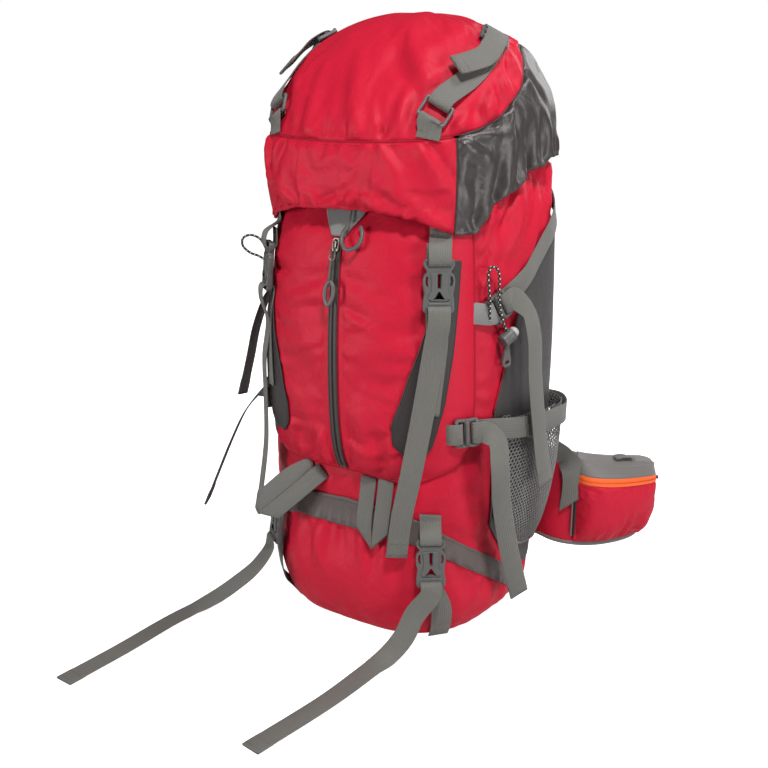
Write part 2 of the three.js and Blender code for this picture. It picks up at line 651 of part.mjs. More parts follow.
function backPanel() {
  const columns = steps(180 - BACK_PANEL.half, 180 + BACK_PANEL.half, 8);
  const turn = (u) => (u > 180 ? u - 360 : u);
  const rows = BAG_ROWS.filter((z) => z >= BACK_PANEL.low && z <= BACK_PANEL.high);
  const depth = (j) => BACK_PANEL.thick - (j % 2 ? 0 : BACK_PANEL.rib);
  const grid = (lift) => columns.map((u) => rows.map((z, j) => bag.point(turn(u), z, lift(j))));
  return wall(grid((j) => GAP + depth(j)), grid(() => GAP));
}

// Lid
function lidTop() {
  const columns = roundColumns.slice(0, -1);
  const [shoulder, brow, crest] = LID_SECTIONS.slice(-3).map((row) => row.reach);
  const reaches = (u) => [...steps(lidEdge(u, 'seam') + LID_SEAM, shoulder, 3), brow, crest];
  const outer = columns.map((u) => reaches(u).map((reach) => lid.point(u, reach)));
  const inner = columns.map((u) => reaches(u).map((reach) => lid.point(u, reach, -CLOTH)));
  const crown = smooth(LID_SECTIONS, 'reach', crest, 'z') + LID_CROWN;
  return wall(outer, inner, { ring: true, highCover: [vec(0, 0, crown), vec(0, 0, crown - CLOTH)] });
}

function lidPanel(from, to, columns, rows) {
  return panel(lid, {
    columns: steps(from, to, columns),
    low: (u) => lidEdge(u, 'rim'),
    high: (u) => lidEdge(u, 'seam') - LID_SEAM,
    rows,
    lift: () => -CLOTH,
    thick: CLOTH,
  });
}

// Hardware plates
function plate(outline, holes, thick) {
  const shape = new THREE.Shape(outline.map(([x, y]) => new THREE.Vector2(x, y)));
  shape.holes = holes.map((hole) => new THREE.Path(hole.map(([x, y]) => new THREE.Vector2(x, y))));
  return new THREE.ExtrudeGeometry(shape, { depth: thick, bevelEnabled: false });
}

function rectangle(width, low, high) {
  const half = width / 2;
  return [[-half, low], [half, low], [half, high], [-half, high]];
}

/** Outline that is the same on both sides of its middle, from its right half. */
function doubled(half) {
  return [...half, ...half.slice().reverse().map(([x, y]) => [-x, y])];
}

/** Fastened side-release buckle, drawn in at its release arms, with a slot for the webbing at each end. */
function buckle(size) {
  const half = size.width / 2;
  const end = size.length / 2;
  const outline = doubled([
    [half - 2, -end], [half, -end + 3], [half, -8], [size.waist, -4],
    [size.waist, 6], [half, 10], [half, end - 3], [half - 2, end],
  ]);
  const opening = size.width - 8;
  const slot = (middle) => rectangle(opening, middle - size.slot / 2, middle + size.slot / 2);
  const fork = rectangle(4, -6, 6);
  return plate(outline, [slot(-size.slotAt), slot(size.slotAt), fork], size.thick);
}

function ladderLock() {
  const half = LOCK.width / 2;
  const end = LOCK.length / 2;
  const outline = doubled([[half - 2, -end], [half, -end + 2], [half, end - 2], [half - 2, end]]);
  const opening = LOCK.width - 7;
  const low = LOCK.windowAt - LOCK.window / 2;
  const high = LOCK.windowAt + LOCK.window / 2;
  return plate(outline, [rectangle(opening, -high, -low), rectangle(opening, low, high)], LOCK.thick);
}

function squareRing() {
  const half = RING.width / 2;
  const end = RING.length / 2;
  const outline = doubled([[half - 3, -end], [half, -end + 3], [half, end - 3], [half - 3, end]]);
  const opening = rectangle(RING.width - 2 * RING.bar + 1, -end + RING.bar, end - RING.bar);
  return plate(outline, [opening], RING.thick);
}

/** The same frame, moved out by a distance. */
function raised(frame, out) {
  return frame.clone().multiply(new THREE.Matrix4().makeTranslation(0, 0, out));
}

const BUCKLE_TOP = BUCKLE.under + BUCKLE.thick + WEB_LIFT;
const LOCK_TOP = LOCK.under + LOCK.thick + WEB_LIFT;
const RING_TOP = RING.under + RING.thick + WEB_LIFT;

// Lid buckle with its anchor under the hood and the strap that hangs from it
function lidFastening({ name, sign }) {
  const { bearing, z } = LID_BUCKLE_AT;
  const above = pocket.point(sign * bearing, z + BUCKLE.length);
  const frame = pocket.frame(sign * bearing, z, above, SEWN_LIFT + TRIM);
  const slot = BUCKLE.slotAt;
  const hood = -CLOTH - WEB_LIFT - HOOD_EASE;
  const anchor = [
    ...laid(lid, onSide(LID_ANCHOR, sign), hood),
    ...threaded(frame, [[40, BUCKLE_TOP], [slot, BUCKLE_TOP], [slot, WEB_LIFT], [slot + 22, WEB_LIFT]]),
  ];
  const sewn = laid(pocket, onSide(LID_PLY, sign), TRIM_LIFT + GAP);
  const round = threaded(frame, [[-slot, WEB_LIFT], [-slot, BUCKLE_TOP], [-slot - 16, BUCKLE_TOP]]);
  const down = name === 'right' ? laid(pocket, LID_TAIL_LAID, TRIM_LIFT) : [];
  const tail = [...down, ...hanging(LID_TAILS[name], roundwards(sign * bearing))];
  add(`lid_strap_anchor_${name}`, webbing(anchor), 'webbing');
  add(`lid_buckle_${name}`, buckle(BUCKLE), 'plastic', raised(frame, BUCKLE.under));
  add(`lid_strap_${name}`, webbing([...sewn, ...round, ...tail]), 'webbing');
}

// Bottom buckle with its anchor on the band and the strap that runs out on the floor
function bottomFastening({ name, sign }) {
  const { bearing, z, lift } = BOTTOM_BUCKLE_AT;
  const frame = bag.frame(sign * bearing, z, bag.point(sign * bearing, z + BUCKLE.length, lift), lift);
  const slot = BUCKLE.slotAt;
  const anchor = [
    ...laid(bag, onSide(BOTTOM_ANCHOR, sign), TRIM_LIFT),
    ...threaded(frame, [
      [slot + 12, BUCKLE_TOP], [slot, BUCKLE_TOP], [slot, WEB_LIFT], [slot + 14, WEB_LIFT],
    ]),
  ];
  const sewn = laid(bag, onSide(BOTTOM_PLY, sign), WEB_LIFT + 2 * GAP);
  const round = threaded(frame, [
    [-slot - 6, WEB_LIFT - 1], [-slot, WEB_LIFT], [-slot, BUCKLE_TOP], [-slot - 12, BUCKLE_TOP + GAP],
  ]);
  const tail = hanging(BOTTOM_TAILS[name], roundwards(sign * TAIL_SIDES.bottom));
  add(`bottom_strap_anchor_${name}`, webbing(anchor), 'webbing');
  add(`bottom_buckle_${name}`, buckle(BUCKLE), 'plastic', raised(frame, BUCKLE.under));
  add(`bottom_strap_${name}`, webbing([...sewn, ...round, ...tail]), 'webbing');
}

/** Stops of a strap that comes to a ladder lock, turns round its bar and leaves over it. */
function lockTurn(frame) {
  const bar = LOCK.windowAt;
  return threaded(frame, [
    [LOCK.length / 2 + 8, WEB_LIFT], [-bar, WEB_LIFT],
    [-bar, LOCK_TOP], [LOCK.length / 2 + 5, LOCK_TOP + 0.8],
  ]);
}

// Upper side strap, its ladder lock and the elastic cord with its lock
function upperCompression({ name, sign }) {
  const { bearing, z } = UPPER_LOCK_AT;
  const frame = bag.frame(sign * bearing, z, bag.point(sign * UPPER_AIM.bearing, UPPER_AIM.z));
  const column = (share, key) => straight(UPPER_STRAP, 'share', share, key);
  const places = steps(0, 1, 6).map((share) => [sign * column(share, 'bearing'), column(share, 'z')]);
  const along = laid(bag, places, TRIM_LIFT + UPPER_STRAP_EASE);
  const tail = hanging(UPPER_TAILS[name], roundwards(sign * TAIL_SIDES.upper));
  add(`upper_ladder_${name}`, ladderLock(), 'plastic', raised(frame, LOCK.under));
  add(`upper_strap_${name}`, webbing([...along, ...lockTurn(frame), ...tail]), 'webbing');
  elasticCord(name, sign, frame);
}

function elasticCord(name, sign, frame) {
  const place = ([along, across, out]) => vec(-sign * across, along, out).applyMatrix4(frame);
  const route = new THREE.CatmullRomCurve3(CORD_ROUTES[name].map(place), false, 'centripetal');
  const round = steps(0, 2 * Math.PI, CORD_SIDES).slice(0, -1).map(
    (angle) => new THREE.Vector2(Math.cos(angle), Math.sin(angle)).multiplyScalar(CORD_WIDTH / 2),
  );
  const tube = new THREE.ExtrudeGeometry(new THREE.Shape(round), {
    steps: Math.round(CORD_ROUTES[name].length * 1.5),
    extrudePath: route,
    bevelEnabled: false,
  });
  add(`bungee_cord_${name}`, tube, 'cord');
  const { along, across, out } = CORD_LOCK_AT;
  const barrel = frame.clone().multiply(new THREE.Matrix4().makeTranslation(-sign * across, along, out));
  add(`cord_lock_${name}`, cordLockBarrel(), 'plastic', barrel);
  const seat = CORD_LOCK.floor + BUTTON.travel + BUTTON.clearance;
  add(`cord_lock_button_${name}`, cordLockButton().translate(0, seat, 0), 'button', barrel);
}

/** Barrel turned round its axis, bored from one end for the button. */
function cordLockBarrel() {
  const { radius, length, bore, floor } = CORD_LOCK;
  const round = radius - bore;
  return turned([
    [0, 0], [radius - round, 0], [radius, round], [radius, length], [bore, length], [bore, floor], [0, floor],
  ]);
}

/** Solid of revolution from a profile of radius and height. */
function turned(profile) {
  return new THREE.LatheGeometry(profile.map(([r, y]) => new THREE.Vector2(r, y)), ROUND_STEPS);
}

function cordLockButton() {
  const { radius, length, dome } = BUTTON;
  const crown = [[radius * 0.75, length - dome * 0.3], [0, length]];
  return turned([[0, 0], [radius, 0], [radius, length - dome], ...crown]);
}

// Lower side strap: the hem of the mesh pocket, its ladder lock and tail
function lowerCompression({ name, sign }) {
  const { bearing, z, lift } = LOWER_LOCK_AT;
  const frame = bag.frame(sign * bearing, z, bag.point(sign * LOWER_AIM.bearing, LOWER_AIM.z, lift), lift);
  const hem = MESH_HEM.map((row) => [sign * row.bearing, row.z, row.out]);
  const along = laid(bag, hem, TRIM_LIFT + SEWN_LIFT + TRIM + GAP);
  const tail = hanging(LOWER_TAILS[name], roundwards(sign * TAIL_SIDES.lower));
  add(`lower_ladder_${name}`, ladderLock(), 'plastic', raised(frame, LOCK.under));
  add(`lower_strap_${name}`, webbing([...along, ...lockTurn(frame), ...tail]), 'webbing');
}

// Webbing loop that hangs from the pocket's bottom seam, folded to a tip
function toolLoop({ name, sign }) {
  const points = TOOL_LOOPS[name].map((place) => vec(...place));
  const ahead = directions(points);
  const stops = points.map((point, k) => ({ point, side: ahead[k].cross(vec(0, -sign, 0)) }));
  return webbing(stops, TOOL_LOOP_WIDTH);
}

// Strap over the front of the lid, from its ring to its ladder lock and back as a tail
function lidTopStrap({ name, sign }) {
  const ringAt = [sign * LID_RING_AT.bearing, LID_RING_AT.reach];
  const lockAt = [sign * LID_LOCK_AT.bearing, LID_LOCK_AT.reach];
  const ringFrame = lid.frame(...ringAt, lid.point(...lockAt));
  const lockFrame = lid.frame(...lockAt, lid.point(sign * LID_AIM.bearing, LID_AIM.reach));
  const turn = RING.length / 2 - RING.bar - 2;
  const bar = LOCK.windowAt;
  const before = -LOCK.length / 2 - 4;
  const stops = [
    ...threaded(ringFrame, [[turn, WEB_LIFT], [turn, RING_TOP], [turn + 9, RING_TOP]]),
    ...laid(lid, onSide(LID_STRAP, sign), WEB_LIFT),
    ...threaded(lockFrame, [
      [before, WEB_LIFT], [bar, WEB_LIFT], [bar, LOCK_TOP], [before - 2, LOCK_TOP + 1],
    ]),
    ...laid(lid, onSide(LID_STRAP_END, sign), LOCK_TOP - 1),
  ];
  add(`lid_ring_${name}`, squareRing(), 'plastic', raised(ringFrame, RING.under));
  add(`lid_top_ladder_${name}`, ladderLock(), 'plastic', raised(lockFrame, LOCK.under));
  add(`lid_top_strap_${name}`, webbing(stops), 'webbing');
}

// Harness
function shoulderStrap({ name, sign }) {
  const stops = SHOULDER_STOPS.map((row) => ({
    point: vec(sign * row.x, row.y, row.z),
    side: vec(1, 0, 0),
    row,
  }));
  add(`shoulder_strap_${name}`, sweep(stops, ({ row }) => pad(row.width, row.thick)), 'padding');
}

/** Place on a hip belt wing by its share along, its share up and its distance out of the wing's middle. */
function wingPoint(sign, share, rise, out) {
  const count = WING_STOPS.length - 1;
  const keyed = WING_STOPS.map((row, index) => ({ ...row, share: index / count }));
  const at = (where, column) => smooth(keyed, 'share', where, column);
  const on = Math.min(1, share + WING_PROBE);
  const back = Math.max(0, share - WING_PROBE);
  const slope = vec(at(on, 'x') - at(back, 'x'), at(on, 'y') - at(back, 'y'), 0).normalize();
  const z = THREE.MathUtils.lerp(at(share, 'low'), at(share, 'high'), rise);
  const place = vec(at(share, 'x') + slope.y * out, at(share, 'y') - slope.x * out, z);
  return place.setX(sign * place.x);
}

function beltWing(sign) {
  const shares = steps(0, 1, 7);
  const rises = [0, WING_EDGE, 0.5, 1 - WING_EDGE, 1];
  const half = (rise) => (WING_THICK / 2) * (rise === 0 || rise === 1 ? WING_THINNED : 1);
  const grid = (face) => shares.map((share) => rises.map(
    (rise) => wingPoint(sign, share, rise, face * half(rise)),
  ));
  return wall(grid(1), grid(-1));
}

function beltPocket(sign) {
  const shares = steps(BELT_POCKET.from, BELT_POCKET.to, 8);
  const rises = steps(BELT_POCKET.low, BELT_POCKET.high, 6);
  const swell = (share, rise) => {
    const along = (share - BELT_POCKET.from) / (BELT_POCKET.to - BELT_POCKET.from);
    const up = (rise - BELT_POCKET.low) / (BELT_POCKET.high - BELT_POCKET.low);
    return BELT_POCKET.bulge * (1 - Math.abs(2 * along - 1) ** 4) * (1 - Math.abs(2 * up - 1) ** 3);
  };
  const base = WING_THICK / 2 + GAP + 0.4;
  const grid = (extra) => shares.map((share) => rises.map(
    (rise) => wingPoint(sign, share, rise, base + swell(share, rise) + extra),
  ));
  return wall(grid(TRIM), grid(0));
}

function hipBelt() {
  const { y: middle, z: height } = BELT_BUCKLE_AT;
  const turned = new THREE.Matrix4().makeBasis(vec(0, 0, 1), vec(1, 0, 0), vec(0, 1, 0));
  const frame = turned.setPosition(0, middle, height);
  const slot = BELT_BUCKLE.slotAt;
  const front = BELT_BUCKLE.thick / 2 + WEB_LIFT;
  const turn = [[slot + 15, front], [slot, front], [slot, -front], [slot + 17, -front]];
  add('belt_buckle', buckle(BELT_BUCKLE), 'plastic', raised(frame, -BELT_BUCKLE.thick / 2));
  SIDES.forEach(({ name, sign }) => {
    add(`belt_wing_${name}`, beltWing(sign), 'red');
    add(`belt_pocket_${name}`, beltPocket(sign), 'red');
    const run = BELT_STOPS.map(([x, y, z]) => [sign * x, y, z]);
    const end = turn.map(([x, out]) => [sign * x, middle + out, height]);
    add(`belt_strap_${name}`, webbing(hanging([...run, ...end], vec(0, 0, 1)), BELT_WEB), 'webbing');
  });
}

function grabHandle() {
  const { half, z, out } = HANDLE;
  const seat = bag.point(180 - HANDLE.bearing, z, 2.5 * GAP + HANDLE.thick / 2).y;
  const places = steps(-1, 1, 10).map((share) => [half * share, seat + out * (1 - share ** 2) ** 0.7, z]);
  return webbing(hanging(places, vec(0, 0, 1)), WEB_WIDTH, HANDLE.thick);
}

// Assembly
add('main_bag', mainBag(), 'red');
add('bottom_band', bottomBand(), 'taupe');
add('front_pocket', frontPocket(), 'red');
add('zip_tape', zipTape(), 'taupe');
add('back_panel', backPanel(), 'padding');
add('lid_top', lidTop(), 'red');
add('lid_front', lidPanel(-LID_CORNER, LID_CORNER, 10, 3), 'red');
SIDES.forEach((which) => {
  const { name, sign } = which;
  add(`side_panel_${name}`, sidePanel(sign), 'taupe');
  add(`mesh_pocket_${name}`, meshPocket(sign), 'net');
  add(`pocket_gusset_${name}`, pocketGusset(sign), 'taupe');
  const sideStart = sign * (LID_CORNER + LID_SIDE_SEAM);
  add(`lid_side_${name}`, lidPanel(sideStart, sign * (180 - LID_SIDE_SEAM), 24, 4), 'taupe');
  lidFastening(which);
  bottomFastening(which);
  upperCompression(which);
  lowerCompression(which);
  add(`tool_loop_${name}`, toolLoop(which), 'webbing');
  lidTopStrap(which);
  shoulderStrap(which);
});
hipBelt();
add('grab_handle', grabHandle(), 'webbing');

export default pack;
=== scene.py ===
"""Camping backpack: cloth, webbing, net, buckles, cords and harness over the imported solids."""
from __future__ import annotations

import logging
import math
import random
from dataclasses import dataclass, field, replace
from enum import Enum
from typing import Callable, Sequence

import bmesh
import bpy
import numpy as np
from mathutils import Matrix, Vector, noise


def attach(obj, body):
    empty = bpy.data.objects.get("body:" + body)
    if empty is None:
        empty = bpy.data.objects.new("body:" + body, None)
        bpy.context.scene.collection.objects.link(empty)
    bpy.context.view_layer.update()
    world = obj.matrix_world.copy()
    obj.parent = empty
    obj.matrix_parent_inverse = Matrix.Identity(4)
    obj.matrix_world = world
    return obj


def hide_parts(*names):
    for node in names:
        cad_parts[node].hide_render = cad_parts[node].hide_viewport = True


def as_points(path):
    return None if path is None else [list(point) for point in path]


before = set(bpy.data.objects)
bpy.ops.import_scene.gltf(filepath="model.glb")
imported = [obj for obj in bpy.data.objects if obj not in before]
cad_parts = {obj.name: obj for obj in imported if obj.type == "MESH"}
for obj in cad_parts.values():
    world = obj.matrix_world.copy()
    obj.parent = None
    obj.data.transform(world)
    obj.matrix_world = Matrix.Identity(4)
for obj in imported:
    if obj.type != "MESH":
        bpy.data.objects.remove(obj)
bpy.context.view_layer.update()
LOG = logging.getLogger("backpack")

# Sizes are in millimetres, and MM turns them into metres
MM = 0.001
SMALL = 1e-9
WELD_REACH = 0.01 * MM
BODY = "pack"
CLOTH = 2.2
TRIM = 1.4
GAP = 0.6
SEWN_LIFT = 1.3
HEM_PLY = 0.95
MOST_CREASE = 9.0
CORD_STEP = 1.5
WEB_WIDTH = 25.0
WEB_THICK = 1.6
WEB_LIFT = GAP + WEB_THICK / 2
WEB_SECTION = (
    (-0.5, -0.5), (-0.465, -1), (0, -1), (0.465, -1), (0.5, -0.5),
    (0.5, 0.5), (0.465, 1), (0, 1), (-0.465, 1), (-0.5, 0.5),
)
TRIM_LIFT = SEWN_LIFT + TRIM + WEB_LIFT
BAG_TOP = 575.0
WALL_RADIUS = 160.0
POCKET_RADIUS = 172.0
POCKET_SEAT = 2.8
POCKET_EDGE = 54.0
SEAM_ROOM = 1.06
CROWN = np.array([0.0, 0.0, 728.0])
UP = np.array([0.0, 0.0, 1.0])


class Side(Enum):
    """Sides of the pack, with the sign of their bearings."""

    LEFT = -1
    RIGHT = 1

    @property
    def label(self) -> str:
        """Ending of the side's piece names."""
        return self.name.lower()


# Tables and forms shared with the solids
def cell(keys: np.ndarray, at: np.ndarray) -> tuple[np.ndarray, np.ndarray]:
    """Finds the table rows round a key.

    Args:
        keys: rising keys.
        at: values to look up.

    Returns:
        The row below each value, and its share of the way to the next row.
    """
    index = np.clip(np.searchsorted(keys, at, side="right") - 1, 0, len(keys) - 2)
    share = (at - keys[index]) / (keys[index + 1] - keys[index])
    return index, np.clip(share, 0.0, 1.0)


@dataclass(frozen=True)
class Table:
    """Numbers in named columns, looked up by the first column."""

    names: tuple[str, ...]
    rows: tuple[tuple[float, ...], ...]

    def column(self, name: str) -> np.ndarray:
        """One column's numbers."""
        place = self.names.index(name)
        return np.array([row[place] for row in self.rows], float)

    def straight(self, at: np.ndarray, name: str) -> np.ndarray:
        """A column's value at a key, in straight lines between the rows."""
        return np.interp(at, self.column(self.names[0]), self.column(name))

    def smooth(self, at: np.ndarray, name: str) -> np.ndarray:
        """A column's value at a key, on a smooth curve through the rows.

        Args:
            at: the key.
            name: the column.

        Returns:
            The value.
        """
        keys = self.column(self.names[0])
        values = self.column(name)
        index, share = cell(keys, np.asarray(at, float))
        before = np.maximum(index - 1, 0)
        after = np.minimum(index + 2, len(keys) - 1)
        span = keys[index + 1] - keys[index]
        start = (values[index + 1] - values[before]) / (keys[index + 1] - keys[before]) * span
        end = (values[after] - values[index]) / (keys[after] - keys[index]) * span
        rise = values[index + 1] - values[index]
        bend = share * (1 - share) * ((1 - share) * (start - rise) - share * (end - rise))
        return values[index] + rise * share + bend


SECTION_COLUMNS = ("half_width", "front", "back", "front_power", "back_power")
BAG_SECTIONS = Table(("z",) + SECTION_COLUMNS, (
    (0, 110, 124, 82, 3, 2.4),
    (8, 129, 144, 90, 3, 2.6),
    (40, 147, 156, 96, 3, 3),
    (120, 156, 157, 102, 3, 3.6),
    (210, 160, 151, 107, 3, 4),
    (320, 161, 142, 111, 3, 4),
    (430, 159, 132, 113, 3, 4),
    (510, 155, 124, 112, 3, 4),
    (575, 142, 110, 104, 3, 4),
))
BAG_ROWS = (0, 8, 34, 90, 142, 178, 235, 295, 360, 430, 490, 535, 575)
LID_SECTIONS = Table(("reach", "z") + SECTION_COLUMNS, (
    (0, 495, 152, 161, 118, 2.8, 3.6),
    (50, 545, 156, 172, 121, 2.8, 3.6),
    (97, 592, 157, 163, 122, 2.8, 3.4),
    (146, 640, 151, 141, 118, 2.7, 3.2),
    (192, 682, 130, 109, 101, 2.5, 2.9),
    (232, 708, 99, 79, 79, 2.3, 2.6),
    (274, 722, 60, 46, 48, 2.1, 2.2),
    (314, 728, 20, 15, 16, 2, 2),
))
LID_ROWS = (0, 25, 50, 75, 97, 122, 146, 169, 192, 212, 232, 253, 274, 294, 314)
LID_EDGES = Table(("bearing", "rim", "seam"), (
    (0, 28, 99), (18, 26, 100), (36, 14, 103), (45, 3, 106), (54, 3, 113), (63, 34, 123),
    (72, 46, 141), (81, 57, 155), (90, 66, 177), (99, 73, 204), (117, 76, 216), (180, 80, 222),
))
LID_CORNER = 45.0
LID_SEAM = 0.72
BAND_EDGES = Table(("bearing", "low", "high"), (
    (0, 142, 178), (27, 140, 173), (36, 130, 163), (45, 117, 146), (63, 82, 110), (81, 47, 74), (108, 20, 42),
))
BAND_END = 90.0
SIDE_PANEL_EDGES = Table(("bearing", "low", "high"), (
    (63, 150, 290), (72, 112, 372), (81, 88, 430), (99, 62, 470), (135, 90, 505),
))
MESH_EDGES = Table(("bearing", "low", "high"), (
    (64, 165, 288), (72, 126, 286), (90, 98, 282), (108, 90, 276), (126, 104, 270), (133, 126, 268),
))
POCKET_BULGES = Table(("z", "bulge", "edge"), (
    (214, 0, 34), (232, 12, 47), (262, 22, 53), (310, 30, 54), (370, 35, 54), (430, 36, 54), (485, 32, 54),
    (520, 18, 53), (546, 8, 52),
))
GUSSET_EDGES = Table(("z", "inner", "outer"), (
    (248, 30, 36), (262, 26, 39), (286, 26, 41), (310, 29, 43), (340, 32, 44.5), (370, 35.5, 46),
    (430, 41, 48), (470, 44, 49),
))


def oval_radius(sections: Table, at: np.ndarray, bearing: np.ndarray) -> np.ndarray:
    """Radius of a squared-off oval section.

    Args:
        sections: the form's sections.
        at: key of the section.
        bearing: angle from the front, in radians.

    Returns:
        Distance from the middle, in millimetres.
    """
    values = {name: sections.smooth(at, name) for name in SECTION_COLUMNS}
    across = np.abs(np.sin(bearing))
    along = np.cos(bearing)
    reach = np.where(along > 0, values["front"], values["back"])
    power = np.where(along > 0, values["front_power"], values["back_power"])
    total = (across / values["half_width"]) ** power + (np.abs(along) / reach) ** power
    return total ** (-1 / power)


def polar(bearing: np.ndarray, radius: np.ndarray, z: np.ndarray) -> np.ndarray:
    """Place at a bearing from the front, a radius and a height."""
    return np.stack(np.broadcast_arrays(radius * np.sin(bearing), -radius * np.cos(bearing), z), axis=-1)


def smoothstep(value: np.ndarray, low: float, high: float) -> np.ndarray:
    """Smooth ramp from 0 at low to 1 at high."""
    share = np.clip((np.asarray(value, float) - low) / (high - low), 0.0, 1.0)
    return share * share * (3 - 2 * share)


def bump_at(value: np.ndarray, middle: float, width: float) -> np.ndarray:
    """Bell curve of height 1."""
    return np.exp(-(((value - middle) / width) ** 2))


def bag_point(degrees: np.ndarray, z: np.ndarray) -> np.ndarray:
    """Place on the bag, with its band crease, sag and gathered collar.

    Args:
        degrees: bearing from the front.
        z: height.

    Returns:
        The place, in millimetres.
    """
    degrees, z = np.broadcast_arrays(np.asarray(degrees, float), np.asarray(z, float))
    bearing = np.radians(degrees)
    band = 160 - 60 * (1 - np.cos(bearing))
    crease = 3.5 * bump_at(z, band, 22)
    sag = 4 * bump_at(z, band - 75, 36) * smoothstep(z, 4, 40)
    collar = 3.5 * smoothstep(z, 500, BAG_TOP) * np.cos(10 * bearing)
    radius = oval_radius(BAG_SECTIONS, np.clip(z, 0, BAG_TOP), bearing)
    return polar(bearing, radius + sag - crease + collar, z)


def lid_point(degrees: np.ndarray, reach: np.ndarray) -> np.ndarray:
    """Place on the lid, with the gathers along the lower edge of its sides.

    Args:
        degrees: bearing from the front.
        reach: distance up from the lid's lower edge, along its cloth.

    Returns:
        The place, in millimetres.
    """
    degrees, reach = np.broadcast_arrays(np.asarray(degrees, float), np.asarray(reach, float))
    aside = np.abs(degrees)
    bearing = np.radians(degrees)
    inside = smoothstep(aside, 50, 59) * (1 - smoothstep(aside, 160, 169))
    height = (reach - LID_EDGES.straight(aside, "rim")) / 34
    gather = 4.5 * inside * np.cos(2 * np.pi * (aside - 50) / 22.4) * np.exp(-height * height)
    radius = oval_radius(LID_SECTIONS, reach, bearing)
    return polar(bearing, radius + gather, LID_SECTIONS.smooth(reach, "z"))


def unit(vector: np.ndarray) -> np.ndarray:
    """Vectors of length 1."""
    length = np.linalg.norm(vector, axis=-1, keepdims=True)
    return vector / np.maximum(length, SMALL)


class Form:
    """A form looked up by two coordinates: smooth, or faceted as the solids are."""

    def __init__(self, exact: Callable, columns: Sequence[float], rows: Sequence[float]) -> None:
        """Keeps the smooth form and its facets.

        Args:
            exact: place on the smooth form.
            columns: first coordinate of the facets' corners.
            rows: second coordinate of the facets' corners.
        """
        self.exact = exact
        self.columns = np.array(columns, float)
        self.rows = np.array(rows, float)
        u, v = np.meshgrid(self.columns, self.rows, indexing="ij")
        self.grid = exact(u, v)

    def facet(self, u: np.ndarray, v: np.ndarray) -> np.ndarray:
        """Place on the facets.

        Args:
            u: first coordinate.
            v: second coordinate.

        Returns:
            The place, in millimetres.
        """
        u, v = np.broadcast_arrays(np.asarray(u, float), np.asarray(v, float))
        i, s = cell(self.columns, u)
        j, t = cell(self.rows, v)
        s, t = s[..., None], t[..., None]
        near = self.grid[i, j] * (1 - t) + self.grid[i, j + 1] * t
        far = self.grid[i + 1, j] * (1 - t) + self.grid[i + 1, j + 1] * t
        return near * (1 - s) + far * s

    def normal(self, u: np.ndarray, v: np.ndarray) -> np.ndarray:
        """Outward direction of the smooth form.

        Args:
            u: first coordinate.
            v: second coordinate.

        Returns:
            The direction.
        """
        u, v = np.asarray(u, float), np.asarray(v, float)
        along = self.exact(u + 4, v) - self.exact(u - 4, v)
        up = self.exact(u, v + 8) - self.exact(u, v - 8)
        return unit(np.cross(along, up))

    def point(self, u: np.ndarray, v: np.ndarray, lift: np.ndarray = 0.0) -> np.ndarray:
        """Place a distance off the facets."""
        return self.facet(u, v) + self.normal(u, v) * np.asarray(lift, float)[..., None]

    def place(self, u: np.ndarray, v: np.ndarray, lift: np.ndarray = 0.0) -> np.ndarray:
        """Place a distance off the smooth form."""
        return self.exact(u, v) + self.normal(u, v) * np.asarray(lift, float)[..., None]

    def frame(self, u: float, v: float, towards: np.ndarray, lift: float = 0.0) -> np.ndarray:
        """Frame on the form.

        Args:
            u: first coordinate.
            v: second coordinate.
            towards: place that the frame's y axis heads for.
            lift: distance off the form.

        Returns:
            A 4 by 4 matrix: x across, y ahead and z out.
        """
        origin = self.point(u, v, lift)
        out = self.normal(u, v)
        ahead = towards - origin
        ahead = unit(ahead - out * ahead.dot(out))
        result = np.eye(4)
        result[:3, 0] = np.cross(ahead, out)
        result[:3, 1] = ahead
        result[:3, 2] = out
        result[:3, 3] = origin
        return result


BAG = Form(bag_point, np.linspace(-180, 180, 41), BAG_ROWS)
LID = Form(lid_point, np.linspace(-180, 180, 81), LID_ROWS)


def pocket_swell(degrees: np.ndarray, z: np.ndarray) -> np.ndarray:
    """How far the front pocket stands off the bag.

    Args:
        degrees: bearing from the front.
        z: height.

    Returns:
        The distance, in millimetres.
    """
    share = np.minimum(1, np.abs(degrees) / POCKET_BULGES.straight(z, "edge"))
    swell = POCKET_BULGES.smooth(z, "bulge") * (1 - share ** 2.6)
    dent = 3 * bump_at(z, 330, 26) * bump_at(np.abs(degrees), 22, 12)
    return POCKET_SEAT + TRIM + np.maximum(0, swell - dent)


def pocket_point(degrees: np.ndarray, z: np.ndarray) -> np.ndarray:
    """Place on the front pocket, over the bag's facets."""
    degrees, z = np.broadcast_arrays(np.asarray(degrees, float), np.asarray(z, float))
    return BAG.point(degrees, z, pocket_swell(degrees, z))


POCKET = Form(pocket_point, np.linspace(-POCKET_EDGE, POCKET_EDGE, 25), POCKET_BULGES.column("z"))


def pocket_place(degrees: np.ndarray, z: np.ndarray, lift: np.ndarray = 0.0) -> np.ndarray:
    """Place a distance off the smooth front pocket."""
    return BAG.place(degrees, z, pocket_swell(degrees, z) + lift)


def front_bearing(x: np.ndarray) -> np.ndarray:
    """Bearing, in degrees, at a distance across the pocket's middle."""
    return np.degrees(x / POCKET_RADIUS)


def raised(matrix: np.ndarray, out: float) -> np.ndarray:
    """The same frame, moved out.

    Args:
        matrix: the frame.
        out: how far, along its z axis.

    Returns:
        The moved frame.
    """
    shift = np.eye(4)
    shift[2, 3] = out
    return matrix @ shift


def carried(matrix: np.ndarray, points: np.ndarray) -> np.ndarray:
    """Places of a frame, in the pack's own frame."""
    return np.asarray(points, float) @ matrix[:3, :3].T + matrix[:3, 3]


